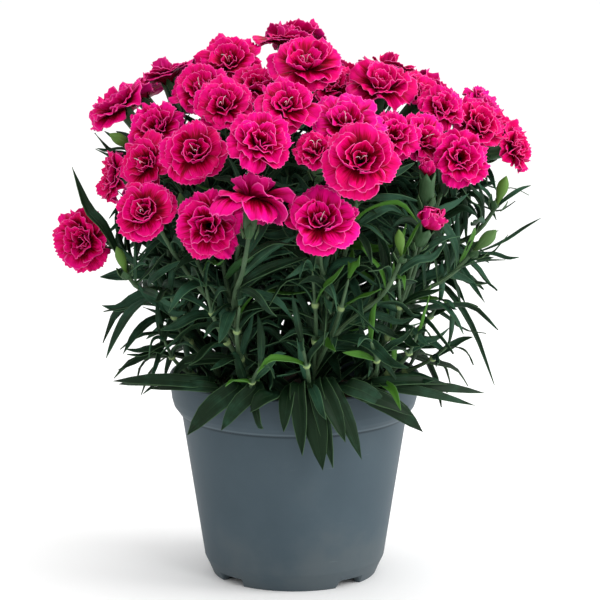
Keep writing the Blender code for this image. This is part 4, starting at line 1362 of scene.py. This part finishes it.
def side_leaf(points, row):
    """One listed leaf, laid from a branch to where its tip is."""
    _, share, across, behind, up, half, arch = row
    start, tip = point_along(points, share)[0], Vector((across, behind, up)) * MM
    lift = arch * (tip - start).length
    path = [start.lerp(tip, k / 4) + Vector((0, 0, lift * k * (4 - k) / 4)) for k in range(5)]
    return Leaf(path, unit((tip - start).cross(Vector((0, 0, 1)))), half * MM / NARROWED)


def soften(profile, cut):
    """A profile with its corners rounded."""
    points = [Vector(p) for p in profile]
    made = [points[0]]
    for a, p, b in zip(points, points[1:], points[2:]):
        near = min(cut, 0.45 * (a - p).length, 0.45 * (b - p).length)
        one, two = p + near * (a - p).normalized(), p + near * (b - p).normalized()
        made += [one, (one + 2 * p + two) / 4, two]
    return made + [points[-1]]


def lathe(profile, steps):
    """A bmesh turned about Z from (radius, height) points that start and end on Z."""
    bm = new_bmesh()
    verts = [bm.verts.new((p[0], 0, p[1])) for p in profile]
    edges = [bm.edges.new(pair) for pair in zip(verts, verts[1:])]
    bmesh.ops.spin(
        bm, geom=verts + edges, axis=(0, 0, 1), cent=(0, 0, 0),
        steps=steps, angle=2 * math.pi, use_merge=True,
    )
    bmesh.ops.remove_doubles(bm, verts=bm.verts, dist=0.01 * MM)
    bmesh.ops.recalc_face_normals(bm, faces=bm.faces)
    for face in bm.faces:
        face.smooth = True
    return bm


def build_pot_shell(finish):
    """The thin pot with its banded rim and four feet."""
    lip = POT_HEIGHT - 0.8 * MM
    profile = [
        (0, FLOOR_UNDERSIDE),
        (FOOT_RING[0] - 1.2 * MM, FLOOR_UNDERSIDE),
        (FOOT_RING[0], 0),
        (FOOT_RING[1], 0),
        (FLOOR_EDGE_RADIUS, FLOOR_UNDERSIDE),
        (WALL_FOOT_RADIUS, WALL_FOOT_HEIGHT),
        (NECK_RADIUS - 0.1 * MM, NECK_HEIGHT - 0.5 * MM),
        (NECK_RADIUS + 0.1 * MM, NECK_HEIGHT),
        (NECK_RADIUS + 1.2 * MM, NECK_HEIGHT + 0.1 * MM),
        (NECK_RADIUS + 1.5 * MM, NECK_HEIGHT + 0.9 * MM),
        (BAND_RADIUS, NECK_HEIGHT + 4 * MM),
        (RIM_FOOT_RADIUS, NECK_HEIGHT + 7.8 * MM),
        (RIM_RADIUS, lip),
        (RIM_RADIUS - 0.7 * MM, POT_HEIGHT),
        (RIM_RADIUS - 2.1 * MM, POT_HEIGHT),
        (RIM_FOOT_RADIUS - 1.7 * MM, NECK_HEIGHT + 7.0 * MM),
        (NECK_RADIUS - WALL, NECK_HEIGHT),
        (WALL_FOOT_RADIUS - WALL, WALL_FOOT_HEIGHT + 1 * MM),
        (WALL_FOOT_RADIUS - 3.5 * MM, FLOOR_TOP),
        (0, FLOOR_TOP),
    ]
    bm = lathe(soften(profile, CORNER_CUT), POT_STEPS)
    half = math.pi / FOOT_COUNT
    for vert in bm.verts:
        if vert.co.z < NOTCH_HEIGHT:
            turn = math.atan2(vert.co.y, vert.co.x) - FOOT_TURN + half
            off = abs((turn + half) % (2 * half) - half)
            if off < NOTCH_ANGLE / 2:
                vert.co.z = NOTCH_HEIGHT
    piece = new_piece("pot_shell", bm, [finish], "pot")
    piece.data.set_sharp_from_angle(angle=SHARP_ANGLE)


def build_peat_bed(finish):
    """Lumpy peat with loose crumbs."""
    rng = random.Random(SEED + 3)
    inner = NECK_RADIUS - WALL - GAP
    profile = [
        (0, FLOOR_TOP + GAP),
        (WALL_FOOT_RADIUS - 4.2 * MM, FLOOR_TOP + GAP),
        (WALL_FOOT_RADIUS - WALL - 0.5 * MM, WALL_FOOT_HEIGHT + 1.4 * MM),
        (inner - 0.2 * MM, NECK_HEIGHT),
        (inner + 3 * MM, SOIL_TOP - 1 * MM),
    ]
    steps = range(1, PEAT_RINGS + 1)
    profile += [((inner + 3 * MM) * (1 - k / PEAT_RINGS), SOIL_TOP) for k in steps]
    bm = lathe(profile, SOIL_STEPS)
    for vert in bm.verts:
        if vert.co.z > SOIL_TOP - 0.2 * MM:
            lump = noise.noise(vert.co * 90) * 1.4 + noise.noise(vert.co * 330) * 1.3
            vert.co.z += MM * (lump - 0.3)
    for _ in range(CRUMBS):
        turn, far = rng.uniform(0, ANY_TURN), (inner + 1 * MM) * math.sqrt(rng.random())
        size = rng.uniform(*CRUMB_SIZE) * MM
        made = bmesh.ops.create_icosphere(bm, subdivisions=1, radius=size)["verts"]
        for vert in made:
            vert.co *= rng.uniform(0.75, 1.2)
            vert.co += Vector((far * math.cos(turn), far * math.sin(turn), SOIL_TOP + 0.6 * size))
    new_piece("peat_bed", bm, [finish], "soil")


def set_camera():
    """The eye that the show side is laid out for."""
    data = bpy.data.cameras.new("camera")
    data.lens, data.sensor_width, data.clip_end = LENS, SENSOR, VIEW_END
    camera = new_object("camera", data)
    camera.location = EYE
    camera.rotation_euler = (math.pi / 2 - EYE_LIFT, 0, 0)
    bpy.context.scene.camera = camera


def add_light(name, place, size, watts):
    """A soft round light that points at the plant."""
    data = bpy.data.lights.new(name, "AREA")
    data.shape, data.size, data.energy = "DISK", size, watts
    light = new_object(name, data)
    light.location = place
    light.rotation_euler = (LIGHTS_AIM - Vector(place)).to_track_quat("-Z", "Y").to_euler()


def set_studio():
    """A plain pale floor, a white surround and soft lights."""
    bm = new_bmesh()
    bmesh.ops.create_circle(bm, cap_ends=True, segments=64, radius=FLOOR_RADIUS)
    mesh_object("floor", bm, [floor_material()])
    world = bpy.data.worlds.new("studio")
    world.use_nodes = True
    surround = world.node_tree.nodes["Background"]
    surround.inputs["Color"].default_value = (1, 1, 1, 1)
    surround.inputs["Strength"].default_value = SURROUND_STRENGTH
    bpy.context.scene.world = world
    for row in LIGHTS:
        add_light(*row)


def main():
    """The camera and the studio, then every piece from the layout that the solids share."""
    bpy.context.scene.view_settings.view_transform = "Standard"
    set_camera()
    set_studio()
    heads = lay_heads()
    space = Space(LEAF_CLEARANCE)
    shoots = lay_leaves(lay_shoots(heads, space), space)
    fill_leaves(shoots, heads, space)
    petals, greens = petal_materials(), green_materials()
    blooms = [head for head in heads if head.kind == "open"]
    for k, head in enumerate(blooms, 1):
        form = FORMS[(SHOW_FORMS + BACK_FORMS)[k - 1]]
        wider = WIDER.get(k, 1.0)
        build_flower(f"petals_{k:02d}", f"bloom_{k:02d}", head, form, petals, SEED * 50 + k, wider)
    tufts = [head for head in heads if head.kind == "opening"]
    for k, head in enumerate(tufts, 1):
        build_flower(f"tuft_{k}", f"bud_tuft_{k}", head, "tuft", petals, SEED * 90 + k)
    for k, shoot in enumerate(shoots, 1):
        build_spray(k, shoot, heads, greens)
    build_pot_shell(pot_material())
    build_peat_bed(peat_material())


main()
